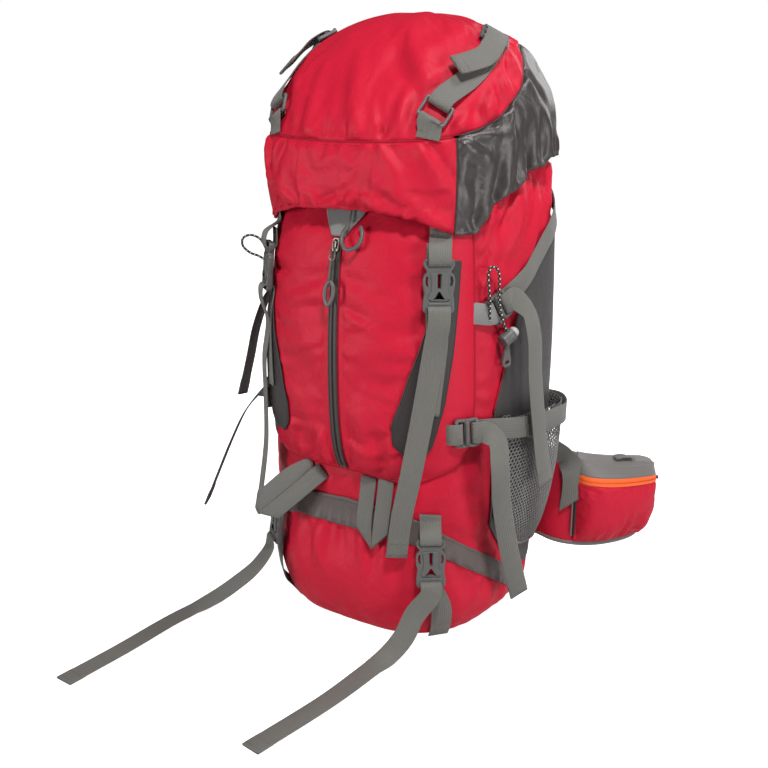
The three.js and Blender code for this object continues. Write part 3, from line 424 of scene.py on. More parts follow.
# Finishes
class Nodes:
    """A material's or a group's node tree, with short calls."""

    def __init__(self, tree: bpy.types.NodeTree) -> None:
        """Keeps the tree that the nodes go into."""
        self.tree = tree

    def add(self, kind: str, **values: object) -> bpy.types.Node:
        """Adds a node.

        Args:
            kind: node type, without its prefix.
            values: attributes of the node.

        Returns:
            The node.
        """
        node = self.tree.nodes.new("ShaderNode" + kind)
        for name, value in values.items():
            setattr(node, name, value)
        return node

    def join(self, out: bpy.types.NodeSocket, into: bpy.types.NodeSocket) -> None:
        """Links two sockets."""
        self.tree.links.new(out, into)

    def fill(self, node: bpy.types.Node, values: dict[str, object]) -> None:
        """Sets a node's inputs by their names."""
        for name, value in values.items():
            node.inputs[name].default_value = value

    def math(self, operation: str, *terms: object) -> bpy.types.NodeSocket:
        """Adds a math node.

        Args:
            operation: what it does.
            terms: sockets or numbers that it works on.

        Returns:
            Its result.
        """
        node = self.add("Math", operation=operation)
        for place, term in enumerate(terms):
            if isinstance(term, (int, float)):
                node.inputs[place].default_value = term
            else:
                self.join(term, node.inputs[place])
        return node.outputs[0]


def group_tree(name: str, inputs: Sequence[tuple[str, str, object]],
               outputs: Sequence[tuple[str, str]]) -> tuple:
    """Starts a shader node group.

    Args:
        name: the group's name.
        inputs: name, socket kind and default of each input.
        outputs: name and socket kind of each output.

    Returns:
        The tree, its nodes, its input node and its output node.
    """
    tree = bpy.data.node_groups.new(name, "ShaderNodeTree")
    for label, kind, value in inputs:
        socket = tree.interface.new_socket(label, in_out="INPUT", socket_type="NodeSocket" + kind)
        socket.default_value = value
    for label, kind in outputs:
        tree.interface.new_socket(label, in_out="OUTPUT", socket_type="NodeSocket" + kind)
    nodes = Nodes(tree)
    into = tree.nodes.new("NodeGroupInput")
    out = tree.nodes.new("NodeGroupOutput")
    return tree, nodes, into, out


def weave_group() -> bpy.types.NodeTree:
    """Over-and-under weave on the cloth's own lie.

    Returns:
        A group that gives a height and a tint mask.
    """
    tree, nodes, into, out = group_tree(
        "weave",
        [("Pitch", "Float", 0.001), ("Ribs", "Float", 0.0)],
        [("Height", "Float"), ("Mask", "Float")],
    )
    lie = nodes.add("Attribute", attribute_name="lay")
    axes = nodes.add("SeparateXYZ")
    nodes.join(lie.outputs["Vector"], axes.inputs[0])
    turn = nodes.math("DIVIDE", 2 * math.pi, into.outputs["Pitch"])
    warp = nodes.math("SINE", nodes.math("MULTIPLY", axes.outputs[0], turn))
    weft = nodes.math("SINE", nodes.math("MULTIPLY", axes.outputs[1], turn))
    crossed = nodes.math("MULTIPLY", warp, weft)
    ribbed = nodes.math("MULTIPLY", weft, into.outputs["Ribs"])
    height = nodes.math("ADD", nodes.math("MULTIPLY", crossed, 0.5), ribbed)
    nodes.join(height, out.inputs["Height"])
    nodes.join(nodes.math("ADD", nodes.math("MULTIPLY", height, 0.25), 0.5), out.inputs["Mask"])
    return tree


def mottle_group() -> bpy.types.NodeTree:
    """Soft uneven colour and fine creases of a used surface, from noise.

    Returns:
        A group that gives broad patches, a fine grain and creases.
    """
    tree, nodes, into, out = group_tree(
        "mottle",
        [("Scale", "Float", 20.0), ("Fine", "Float", 400.0)],
        [("Broad", "Float"), ("Grain", "Float"), ("Crinkle", "Float")],
    )
    place = nodes.add("TexCoord")
    broad, grain, crumple = (nodes.add("TexNoise") for _ in range(3))
    nodes.fill(broad, {"Detail": 4.0})
    nodes.fill(grain, {"Detail": 2.0})
    nodes.fill(crumple, {"Scale": 34.0, "Detail": 3.0, "Distortion": 0.9})
    for texture, key in ((broad, "Scale"), (grain, "Fine")):
        nodes.join(place.outputs["Object"], texture.inputs["Vector"])
        nodes.join(into.outputs[key], texture.inputs["Scale"])
    nodes.join(place.outputs["Object"], crumple.inputs["Vector"])
    ridge = nodes.math("ABSOLUTE", nodes.math("SUBTRACT", crumple.outputs["Fac"], 0.5))
    spread = nodes.math("MULTIPLY", ridge, nodes.math("MULTIPLY", broad.outputs["Fac"], 8.0))
    nodes.join(spread, out.inputs["Crinkle"])
    nodes.join(broad.outputs["Fac"], out.inputs["Broad"])
    nodes.join(grain.outputs["Fac"], out.inputs["Grain"])
    return tree


GROUPS = {"weave": weave_group(), "mottle": mottle_group()}


@dataclass(frozen=True)
class Finish:
    """A surface: colour, gloss, weave and unevenness."""

    name: str
    slot: str
    colour: tuple[float, float, float]
    roughness: float = 0.6
    sheen: float = 0.0
    pitch: float = 0.0
    ribs: float = 0.0
    depth: float = 0.0
    uneven: float = 0.12
    grain: float = 0.0
    metallic: float = 0.0
    gloss: float = 0.5
    crinkle: float = 0.0
    flecks: tuple[float, float, float] | None = None

    def material(self) -> bpy.types.Material:
        """The finish's material, made at its first use."""
        found = bpy.data.materials.get(self.name + "_finish")
        return found or self.made()

    def made(self) -> bpy.types.Material:
        """Makes the material.

        Returns:
            The material, with its colour, gloss and bumps set.
        """
        material = bpy.data.materials.new(self.name + "_finish")
        material.use_nodes = True
        nodes = Nodes(material.node_tree)
        shader = material.node_tree.nodes["Principled BSDF"]
        nodes.fill(shader, {"Metallic": self.metallic, "Sheen Weight": self.sheen, "Sheen Roughness": 0.45,
                            "Specular IOR Level": self.gloss})
        mottle = nodes.add("Group", node_tree=GROUPS["mottle"])
        nodes.fill(mottle, {"Scale": 16.0, "Fine": 900.0})
        shade = nodes.add("Mix", data_type="RGBA")
        darker = [c * (1 - self.uneven) for c in self.colour]
        paler = [min(1, c * (1 + self.uneven)) for c in self.colour]
        nodes.fill(shade, {"A": (*darker, 1), "B": (*paler, 1)})
        tint = mottle.outputs["Broad"]
        height = nodes.math("MULTIPLY", mottle.outputs["Grain"], self.grain)
        if self.crinkle:
            crinkle = nodes.math("MULTIPLY", mottle.outputs["Crinkle"], self.crinkle)
            height = nodes.math("ADD", height, crinkle)
        if self.pitch:
            weave = nodes.add("Group", node_tree=GROUPS["weave"])
            nodes.fill(weave, {"Pitch": self.pitch, "Ribs": self.ribs})
            mask = nodes.math("MULTIPLY", weave.outputs["Mask"], 0.4)
            tint = nodes.math("ADD", nodes.math("MULTIPLY", tint, 0.6), mask)
            height = nodes.math("ADD", height, nodes.math("MULTIPLY", weave.outputs["Height"], self.depth))
        nodes.join(tint, shade.inputs["Factor"])
        colour = shade.outputs["Result"]
        if self.flecks:
            colour = self.flecked(nodes, colour)
        nodes.join(colour, shader.inputs["Base Color"])
        patches = nodes.math("MULTIPLY", mottle.outputs["Broad"], 0.16)
        nodes.join(nodes.math("ADD", patches, self.roughness - 0.08), shader.inputs["Roughness"])
        bump = nodes.add("Bump")
        nodes.fill(bump, {"Strength": 0.6, "Distance": MM})
        nodes.join(height, bump.inputs["Height"])
        nodes.join(bump.outputs["Normal"], shader.inputs["Normal"])
        return material

    def flecked(self, nodes: Nodes, colour: bpy.types.NodeSocket) -> bpy.types.NodeSocket:
        """Adds the pale flecks of a braided sleeve.

        Args:
            nodes: the material's nodes.
            colour: colour under the flecks.

        Returns:
            The colour with the flecks.
        """
        lie = nodes.add("Attribute", attribute_name="lay")
        axes = nodes.add("SeparateXYZ")
        nodes.join(lie.outputs["Vector"], axes.inputs[0])
        along = nodes.math("SINE", nodes.math("MULTIPLY", axes.outputs[0], 2 * math.pi / 0.0058))
        round_ = nodes.math("SINE", nodes.math("MULTIPLY", axes.outputs[1], 2 * math.pi / 0.0048))
        spot = nodes.math("GREATER_THAN", nodes.math("MULTIPLY", along, round_), 0.5)
        mix = nodes.add("Mix", data_type="RGBA")
        nodes.join(spot, mix.inputs["Factor"])
        nodes.join(colour, mix.inputs["A"])
        nodes.fill(mix, {"B": (*self.flecks, 1)})
        return mix.outputs["Result"]


def cloth(name: str, slot: str, colour: tuple, **values: float) -> Finish:
    """Woven cloth with a soft sheen."""
    usual = {"roughness": 0.45, "sheen": 0.12, "pitch": 0.0011, "depth": 0.12, "grain": 0.05}
    return Finish(name, slot, colour, **{**usual, **values})


RED = cloth("red_cloth", "red_cloth", (0.55, 0.012, 0.036), uneven=0.1, gloss=0.14, sheen=0.0,
            crinkle=0.7)
DARK = cloth("dark_cloth", "grey_cloth", (0.045, 0.038, 0.036), uneven=0.14, roughness=0.35, gloss=0.7,
             sheen=0.02, crinkle=0.8)
PANEL = cloth("panel_cloth", "grey_cloth", (0.045, 0.04, 0.04), uneven=0.14, sheen=0.05, crinkle=0.6)
GUSSET = cloth("gusset_cloth", "grey_cloth", (0.034, 0.029, 0.028), uneven=0.14, gloss=0.3, sheen=0.04)
BAND = cloth("band_cloth", "grey_cloth", (0.105, 0.083, 0.077), uneven=0.2, gloss=0.35, crinkle=0.8)
TAPE = cloth("zip_tape_cloth", "grey_cloth", (0.06, 0.05, 0.046), uneven=0.12, gloss=0.3)
PALE = cloth("pale_cloth", "grey_cloth", (0.22, 0.22, 0.215), uneven=0.08)
GREY = cloth("grey_cloth", "grey_cloth", (0.16, 0.15, 0.145), uneven=0.12)
WEB = Finish("webbing", "webbing", (0.138, 0.134, 0.12), 0.72, 0.15, 0.0026, 0.6, 0.3, 0.14, 0.08)
# Painted shade: the same grey webbing in a darker colour, for the left side straps that stand in shade
WEB_PAINTED_SHADE = replace(WEB, name="painted_shade_webbing", colour=(0.055, 0.047, 0.047))
NET = Finish("net", "net", (0.15, 0.15, 0.142), 0.75, 0.2, uneven=0.12, grain=0.1)
PLASTIC = Finish("buckle_plastic", "buckle_plastic", (0.1, 0.1, 0.098), 0.42, uneven=0.08, grain=0.06)
BUTTON = Finish("button_plastic", "button_plastic", (0.44, 0.44, 0.425), 0.4, uneven=0.05, grain=0.04)
CORD = Finish("elastic_cord", "elastic_cord", (0.012, 0.011, 0.011), 0.75, 0.1, uneven=0.1, grain=0.1,
              flecks=(0.6, 0.59, 0.56))
BLACK = Finish("black_cord", "elastic_cord", (0.013, 0.012, 0.012), 0.7, 0.1, uneven=0.1, grain=0.1)
PULL_CORD = Finish("pull_cord", "elastic_cord", (0.09, 0.088, 0.08), 0.7, 0.1, uneven=0.1, grain=0.1)
PADDING = cloth("padding", "padding", (0.03, 0.028, 0.029), uneven=0.14)
ORANGE = Finish("zip_orange", "red_cloth", (0.92, 0.13, 0.012), 0.6, 0.15, 0.0022, 0.5, 0.25, 0.1, 0.05)
ORANGE_COIL = Finish("orange_coil", "red_cloth", (0.75, 0.08, 0.01), 0.5, uneven=0.08)
COIL = Finish("zip_coil", "grey_cloth", (0.022, 0.02, 0.02), 0.5, uneven=0.08)
METAL = Finish("slider_metal", "buckle_plastic", (0.17, 0.15, 0.13), 0.36, uneven=0.08, metallic=1.0)
THREAD = Finish("red_thread", "red_cloth", (0.34, 0.008, 0.022), 0.7, uneven=0.08, gloss=0.2)
THREAD_DARK = Finish("dark_thread", "webbing", (0.05, 0.045, 0.045), 0.7, 0.1, uneven=0.08)
THREAD_GREY = Finish("grey_thread", "webbing", (0.3, 0.29, 0.27), 0.7, 0.1, uneven=0.08)


# Mesh making
def linked(name: str, data: bpy.types.ID) -> bpy.types.Object:
    """Makes an object and puts it in the scene.

    Args:
        name: the object's name.
        data: its mesh, curve, lamp or camera.

    Returns:
        The object.
    """
    thing = bpy.data.objects.new(name, data)
    bpy.context.scene.collection.objects.link(thing)
    return thing


def kept(piece: bpy.types.Object, finish: Finish, *nodes: str, body: str = BODY) -> bpy.types.Object:
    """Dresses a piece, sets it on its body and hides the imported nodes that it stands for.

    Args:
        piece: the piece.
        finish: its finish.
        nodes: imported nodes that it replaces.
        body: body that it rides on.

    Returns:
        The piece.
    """
    piece.data.materials.clear()
    piece.data.materials.append(finish.material())
    if nodes:
        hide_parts(*nodes)
    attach(piece, body)
    LOG.info("piece %s: %d faces", piece.name, len(piece.data.polygons))
    return piece


def new_piece(name: str, corners: np.ndarray, faces: Sequence,
              lay: np.ndarray | None = None) -> bpy.types.Object:
    """Makes a mesh object from millimetres.

    Args:
        name: the piece's name.
        corners: corners, in millimetres.
        faces: corner numbers of each face.
        lay: each corner's place along and across the cloth, in millimetres.

    Returns:
        The object, with smooth shading.
    """
    mesh = bpy.data.meshes.new(name)
    mesh.from_pydata((np.asarray(corners, float).reshape(-1, 3) * MM).tolist(), [], [list(f) for f in faces])
    if lay is not None:
        flat = np.zeros((len(mesh.vertices), 3), np.float32)
        flat[:, :2] = np.asarray(lay, float).reshape(-1, 2) * MM
        mesh.attributes.new("lay", "FLOAT_VECTOR", "POINT").data.foreach_set("vector", flat.ravel())
    mesh.polygons.foreach_set("use_smooth", np.ones(len(mesh.polygons), bool))
    mesh.update()
    return linked(name, mesh)


def grid_faces(columns: int, rows: int, ring: bool = False) -> list[tuple[int, int, int, int]]:
    """Faces of a grid of corners, column by column.

    Args:
        columns: number of columns.
        rows: corners in a column.
        ring: whether the last column meets the first.

    Returns:
        The corner numbers of each face.
    """
    starts = [(i * rows, (i + 1) % columns * rows) for i in range(columns if ring else columns - 1)]
    return [(a + j, b + j, b + j + 1, a + j + 1) for a, b in starts for j in range(rows - 1)]


def tube_faces(rings: int, sides: int) -> list[tuple[int, ...]]:
    """Faces of a closed tube.

    Args:
        rings: number of rings of corners.
        sides: corners in a ring.

    Returns:
        The corner numbers of its walls and of its two ends.
    """
    last = (rings - 1) * sides
    faces: list[tuple[int, ...]] = []
    for start in range(0, last, sides):
        for m in range(sides):
            n = (m + 1) % sides
            faces.append((start + m, start + n, start + sides + n, start + sides + m))
    return faces + [tuple(range(sides - 1, -1, -1)), tuple(range(last, last + sides))]


def legs(line: np.ndarray) -> np.ndarray:
    """Length of each leg of a path."""
    return np.linalg.norm(np.diff(line, axis=0), axis=1)


def distances(line: np.ndarray) -> np.ndarray:
    """Distance of each place along a path."""
    return np.concatenate([[0], np.cumsum(legs(line))])


def part_way(line: np.ndarray, along: np.ndarray, at: np.ndarray) -> np.ndarray:
    """Rows of a path, or of the directions beside it, at distances along it."""
    return np.stack([np.interp(at, along, line[:, k]) for k in range(3)], axis=-1)


def directions(points: np.ndarray) -> np.ndarray:
    """Directions along a path, halfway between its legs at each corner."""
    ways = unit(np.diff(points, axis=0))
    return unit(np.vstack([ways[:1], ways[:-1] + ways[1:], ways[-1:]]))


def spline(points: np.ndarray, spacing: float = 4.0) -> tuple[np.ndarray, np.ndarray]:
    """Smooth curve through places, tight at sharp turns.

    Args:
        points: places that it passes.
        spacing: distance between the samples.

    Returns:
        The samples, and each one's place in the list of points as a number.
    """
    points = np.asarray(points, float)
    knots = np.concatenate([[0], np.cumsum(legs(points) ** 0.5)])
    slopes = np.gradient(points, knots, axis=0)
    samples, places = [], []
    for k, length in enumerate(legs(points)):
        share = np.linspace(0, 1, max(3, int(length / spacing)), endpoint=False)[:, None]
        span = knots[k + 1] - knots[k]
        rise = points[k + 1] - points[k]
        bend = (1 - share) * (slopes[k] * span - rise) - share * (slopes[k + 1] * span - rise)
        samples.append(points[k] + rise * share + share * (1 - share) * bend)
        places.append(k + share[:, 0])
    return np.vstack(samples + [points[-1:]]), np.concatenate(places + [[len(points) - 1]])


def between(low: np.ndarray, high: np.ndarray, shares: np.ndarray) -> np.ndarray:
    """Grid of values from a low edge to a high one, a row for each place of the edges."""
    return low[:, None] + (high - low)[:, None] * shares[None, :]


def lie_of(points: np.ndarray) -> np.ndarray:
    """The cloth's own lie over a grid of places.

    Args:
        points: the grid.

    Returns:
        Each corner's distance along the columns and the rows.
    """
    across = np.linalg.norm(np.diff(points, axis=0), axis=2).mean(axis=1)
    up = np.linalg.norm(np.diff(points, axis=1), axis=2)
    u = np.concatenate([[0], np.cumsum(across)])
    v = np.concatenate([np.zeros((points.shape[0], 1)), np.cumsum(up, axis=1)], axis=1)
    return np.stack([np.broadcast_to(u[:, None], v.shape), v], axis=-1)


def sheet_piece(name: str, points: np.ndarray, ring: bool = False) -> bpy.types.Object:
    """Makes an open sheet from a grid of places."""
    return new_piece(name, points, grid_faces(*points.shape[:2], ring), lie_of(points))


def coordinates(mesh: bpy.types.Mesh) -> np.ndarray:
    """A mesh's corners.

    Args:
        mesh: the mesh.

    Returns:
        A row for each corner, in metres.
    """
    values = np.zeros(len(mesh.vertices) * 3, np.float32)
    mesh.vertices.foreach_get("co", values)
    return values.reshape(-1, 3).astype(float)


def move_corners(mesh: bpy.types.Mesh, places: np.ndarray) -> None:
    """Sets a mesh's corners, in metres."""
    mesh.vertices.foreach_set("co", places.astype(np.float32).ravel())
    mesh.update()


def evaluated(piece: bpy.types.Object) -> bpy.types.Mesh:
    """A new mesh of a piece as its modifiers or its bevel leave it."""
    graph = bpy.context.evaluated_depsgraph_get()
    return bpy.data.meshes.new_from_object(piece.evaluated_get(graph), depsgraph=graph)


def applied(piece: bpy.types.Object) -> bpy.types.Object:
    """Bakes a piece's modifiers into its mesh.

    Args:
        piece: the piece.

    Returns:
        The piece.
    """
    mesh = evaluated(piece)
    old = piece.data
    piece.modifiers.clear()
    piece.data = mesh
    bpy.data.meshes.remove(old)
    mesh.name = piece.name
    mesh.polygons.foreach_set("use_smooth", np.ones(len(mesh.polygons), bool))
    return piece


def thickened(piece: bpy.types.Object, thick: float, smooth: int = 1) -> bpy.types.Object:
    """Rounds a sheet by subdivision and gives it a thickness on its inner side.

    Args:
        piece: the sheet.
        thick: thickness in millimetres.
        smooth: levels of subdivision.

    Returns:
        The piece.
    """
    if smooth:
        piece.modifiers.new("round", "SUBSURF").levels = smooth
    solid = piece.modifiers.new("thick", "SOLIDIFY")
    solid.thickness = thick * MM
    solid.offset = -1.0
    return applied(piece)


def closed(piece: bpy.types.Object, rim: Sequence[int], rise: float = 0.0) -> None:
    """Closes a hole in a sheet with a fan of faces.

    Args:
        piece: the sheet.
        rim: corner numbers round the hole.
        rise: how far the fan's middle stands above them, in metres.
    """
    work = bmesh.new()
    work.from_mesh(piece.data)
    work.verts.ensure_lookup_table()
    corners = [work.verts[k] for k in rim]
    middle = work.verts.new(sum((v.co for v in corners), Vector()) / len(corners) + Vector((0, 0, rise)))
    for k, corner in enumerate(corners):
        work.faces.new((corners[k - 1], corner, middle)).smooth = True
    work.to_mesh(piece.data)
    work.free()


def facing_out(piece: bpy.types.Object) -> bpy.types.Object:
    """Turns a closed mesh's faces outwards, from the sign of its volume.

    Args:
        piece: the closed mesh.

    Returns:
        The piece.
    """
    mesh = piece.data
    mesh.calc_loop_triangles()
    places = coordinates(mesh)
    corners = np.zeros(len(mesh.loop_triangles) * 3, np.int32)
    mesh.loop_triangles.foreach_get("vertices", corners)
    a, b, c = (places[corners[k::3]] for k in range(3))
    if (a * np.cross(b, c)).sum() < 0:
        mesh.flip_normals()
    return piece


def welded(mesh: bpy.types.Mesh, flat_ends: bool = True) -> None:
    """Joins the corners of a mesh that lie in one place.

    Args:
        mesh: the mesh.
        flat_ends: whether its wide faces are shaded flat.
    """
    work = bmesh.new()
    work.from_mesh(mesh)
    bmesh.ops.remove_doubles(work, verts=work.verts, dist=WELD_REACH)
    for face in work.faces:
        face.smooth = len(face.verts) == 4 or not flat_ends
    work.to_mesh(mesh)
    work.free()


def joined(name: str, pieces: Sequence[bpy.types.Object]) -> bpy.types.Object:
    """Joins meshes into one piece.

    Args:
        name: the piece's name.
        pieces: the meshes, which are used up.

    Returns:
        The piece.
    """
    work = bmesh.new()
    for piece in pieces:
        work.from_mesh(piece.data)
    mesh = bpy.data.meshes.new(name)
    work.to_mesh(mesh)
    work.free()
    for piece in pieces:
        data = piece.data
        bpy.data.objects.remove(piece)
        bpy.data.meshes.remove(data)
    return linked(name, mesh)


# Cloth
@dataclass(frozen=True)
class Settling:
    """A short cloth simulation that puckers and swells a sheet between its seams."""

    pressure: float
    grow: float
    cap: float
    frames: int
    bending: float = 0.3

    def run(self, piece: bpy.types.Object, held: np.ndarray) -> None:
        """Settles a piece.

        Args:
            piece: the sheet.
            held: how firmly each corner is held, from 0 to 1.
        """
        group = piece.vertex_groups.new(name="held")
        weights = np.round(np.asarray(held, float).ravel(), 2)
        for weight in np.unique(weights):
            if weight > 0:
                group.add(np.flatnonzero(weights == weight).tolist(), float(weight), "REPLACE")
        start = coordinates(piece.data)
        settle = piece.modifiers.new("settle", "CLOTH")
        values = settle.settings
        values.quality = 4
        values.mass = 0.2
        values.tension_stiffness = 25
        values.compression_stiffness = 25
        values.shear_stiffness = 8
        values.bending_stiffness = self.bending
        values.vertex_group_mass = group.name
        values.use_pressure = True
        values.uniform_pressure_force = self.pressure
        values.shrink_min = -self.grow
        values.effector_weights.gravity = 0
        settle.collision_settings.use_collision = False
        settle.point_cache.frame_end = self.frames
        for number in range(1, self.frames + 1):
            bpy.context.scene.frame_set(number)
        graph = bpy.context.evaluated_depsgraph_get()
        moved = coordinates(piece.evaluated_get(graph).data) - start
        piece.modifiers.clear()
        piece.vertex_groups.clear()
        length = np.maximum(np.linalg.norm(moved, axis=1, keepdims=True), SMALL)
        most = self.cap * MM
        moved *= most * np.tanh(length / most) / length
        move_corners(piece.data, start + moved)
        bpy.context.scene.frame_set(1)


def wander(points: np.ndarray, size: float, seed: float) -> np.ndarray:
    """Smooth noise.

    Args:
        points: places, in millimetres.
        size: width of its waves.
        seed: where in the noise it starts.

    Returns:
        Values from -1 to 1.
    """
    flat = np.asarray(points, float).reshape(-1, 3) / size
    values = [noise.noise(Vector((x + seed, y - seed, z + 2 * seed))) for x, y, z in flat]
    return np.array(values).reshape(np.shape(points)[:-1])


@dataclass(frozen=True)
class Fold:
    """A crease from one place of a cloth's lie towards another: a ridge beside a valley, fading along it."""

    start: tuple[float, float]
    end: tuple[float, float]
    width: float
    depth: float

    def rise(self, lie: np.ndarray) -> np.ndarray:
        """Distance out of the cloth.

        Args:
            lie: places of the cloth's lie.

        Returns:
            The distances, in millimetres.
        """
        way = np.subtract(self.end, self.start)
        length = np.linalg.norm(way)
        aim = way / length
        off = lie - np.array(self.start)
        along = off @ aim / length
        across = off @ np.array([-aim[1], aim[0]])
        width = self.width * (1 + 0.7 * np.clip(along, 0, 1))
        fade = np.clip(1 - along, 0, 1) * smoothstep(along, -0.1, 0.06)
        valley = bump_at(across, 1.5 * width, 0.75 * width)
        return self.depth * fade * (bump_at(across, 0.0, width) - 0.8 * valley)


@dataclass(frozen=True)
class Puckers:
    """Creases that run into a cloth from a seam."""

    count: int
    length: float
    width: float
    depth: float
    seed: int
    slant: float = 0.4
    lean: float = 0.0

    def folds(self, seam: np.ndarray, way: tuple[float, float]) -> list[Fold]:
        """Creases along a seam.

        Args:
            seam: places of the seam in the cloth's lie.
            way: direction into the cloth.

        Returns:
            The creases.
        """
        dice = random.Random(self.seed)
        into = np.array(way, float)
        beside = np.array([into[1], into[0]])
        found = []
        for k in range(self.count):
            start = seam[int((k + dice.uniform(0.1, 0.9)) / self.count * (len(seam) - 1))]
            aim = unit(into + beside * (self.lean + dice.uniform(-self.slant, self.slant)))
            end = start + aim * self.length * dice.uniform(0.5, 1.3)
            depth = self.depth * dice.uniform(0.5, 1.1) * dice.choice((-1.0, 1.0, 1.0))
            found.append(Fold(tuple(start), tuple(end), self.width * dice.uniform(0.7, 1.3), depth))
        return found


def wall_lie(points: np.ndarray) -> np.ndarray:
    """Distances round and up the pack, as the lie of an upright cloth."""
    return np.stack([np.arctan2(points[..., 0], -points[..., 1]) * WALL_RADIUS, points[..., 2]], axis=-1)


def crown_lie(points: np.ndarray) -> np.ndarray:
    """Distances round the lid and in towards its crown."""
    reach = np.linalg.norm(points - CROWN, axis=-1)
    return np.stack([np.arctan2(points[..., 0], -points[..., 1]) * WALL_RADIUS, -reach], axis=-1)


def wing_lie(points: np.ndarray) -> np.ndarray:
    """Distances back along a belt wing and up it."""
    return np.stack([points[..., 1] + 0.5 * np.abs(points[..., 0]), points[..., 2]], axis=-1)


def lid_pulls(lie: Callable, pulls: Sequence, sign: int = 1) -> list[Fold]:
    """Long creases of the lid.

    Args:
        lie: place of a corner in the cloth's lie.
        pulls: bearing and reach of each crease's start and end, its width and its depth.
        sign: side of the pack.

    Returns:
        The creases.
    """
    found = []
    for start, end, width, depth in pulls:
        first, last = (lie(LID.exact(sign * u, reach)) for u, reach in (start, end))
        found.append(Fold(tuple(first), tuple(last), width, depth * sign))
    return found


def hold(piece: bpy.types.Object, held: np.ndarray) -> None:
    """Keeps how firmly each corner of a sheet is held, from 0 to 1."""
    values = np.asarray(held, np.float32).ravel()
    piece.data.attributes.new("held", "FLOAT", "POINT").data.foreach_set("value", values)


def edges_held(shape: tuple[int, ...]) -> np.ndarray:
    """Hold of a sheet that is sewn down along its four edges.

    Args:
        shape: columns and rows of the sheet.

    Returns:
        1 along its edges and 0 between them.
    """
    held = np.ones(shape)
    held[1:-1, 1:-1] = 0
    return held


def near_path(points: np.ndarray, path: np.ndarray, reach: float) -> np.ndarray:
    """How close places are to a path.

    Args:
        points: the places.
        path: stops of the path.
        reach: distance at which it has no more effect.

    Returns:
        1 on the path, 0 beyond the reach.
    """
    line, _ = spline(path, 6.0)
    gap = np.min(np.linalg.norm(points[..., None, :] - line, axis=-1), axis=-1)
    return 1 - smoothstep(gap, reach * 0.75, reach)


def creased(piece: bpy.types.Object, lie: Callable, folds: Sequence[Fold]) -> bpy.types.Object:
    """Rounds a sheet by subdivision and presses creases into it where it isn't held.

    Args:
        piece: the sheet, with its hold.
        lie: place of a corner in the cloth's lie.
        folds: the creases.

    Returns:
        The piece.
    """
    piece.modifiers.new("round", "SUBSURF").levels = 1
    mesh = applied(piece).data
    count = len(mesh.vertices)
    held = np.zeros(count, np.float32)
    mesh.attributes["held"].data.foreach_get("value", held)
    outward = np.zeros(count * 3, np.float32)
    mesh.vertices.foreach_get("normal", outward)
    places = coordinates(mesh)
    spots = lie(places / MM)
    rise = np.zeros(count)
    for fold in folds:
        rise += fold.rise(spots)
    rise = MOST_CREASE * np.tanh(rise / MOST_CREASE) * (1 - held)
    mesh.attributes.remove(mesh.attributes["held"])
    move_corners(mesh, places + outward.reshape(-1, 3) * (rise * MM)[:, None])
    return piece


@dataclass
class Panel:
    """A cloth panel: settled between its seams, creased and given a thickness."""

    name: str
    points: np.ndarray
    held: np.ndarray
    settling: Settling
    folds: Sequence[Fold]
    lie: Callable = wall_lie
    thick: float = CLOTH
    ring: bool = False
    rim: Sequence[int] = ()
    rise: float = 0.0
    firm: np.ndarray | None = None

    def build(self, finish: Finish, node: str) -> bpy.types.Object:
        """Makes the panel and dresses it.

        Args:
            finish: its finish.
            node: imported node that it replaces.

        Returns:
            The piece.
        """
        piece = sheet_piece(self.name, self.points, self.ring)
        hold(piece, self.held)
        self.settling.run(piece, self.held if self.firm is None else self.firm)
        if self.rim:
            closed(piece, self.rim, self.rise)
        creased(piece, self.lie, self.folds)
        return kept(thickened(piece, self.thick, smooth=0), finish, node)


def cut_sheet(piece: bpy.types.Object, points: np.ndarray) -> None:
    """Logs the size that a sewn panel was cut to, and its area.

    Args:
        piece: the panel.
        points: its grid of places, before it was creased.
    """
    lay = lie_of(points)
    width, length = (float(lay[..., k].max()) * SEAM_ROOM * MM for k in range(2))
    area = sum(face.area for face in piece.data.polygons) / 2
    LOG.info("sheet %s: cut %.3f by %.3f m, area %.4f", piece.name, width, length, area)


def padded_sheet(name: str, over: np.ndarray, under: np.ndarray) -> bpy.types.Object:
    """Makes a closed pad between two grids of places.

    Args:
        name: the piece's name.
        over: its outer face.
        under: its inner face.

    Returns:
        The pad.
    """
    columns, rows = over.shape[:2]
    count = columns * rows
    top = grid_faces(columns, rows)
    faces = top + [tuple(count + k for k in face[::-1]) for face in top]
    rim = [i * rows for i in range(columns)] + [(columns - 1) * rows + j for j in range(1, rows)]
    rim += [i * rows + rows - 1 for i in range(columns - 2, -1, -1)] + list(range(rows - 2, 0, -1))
    for a, b in zip(rim, rim[1:] + rim[:1]):
        faces.append((b, a, count + a, count + b))
    lay = lie_of(over).reshape(-1, 2)
    corners = np.concatenate([over.reshape(-1, 3), under.reshape(-1, 3)])
    return facing_out(new_piece(name, corners, faces, np.concatenate([lay, lay])))


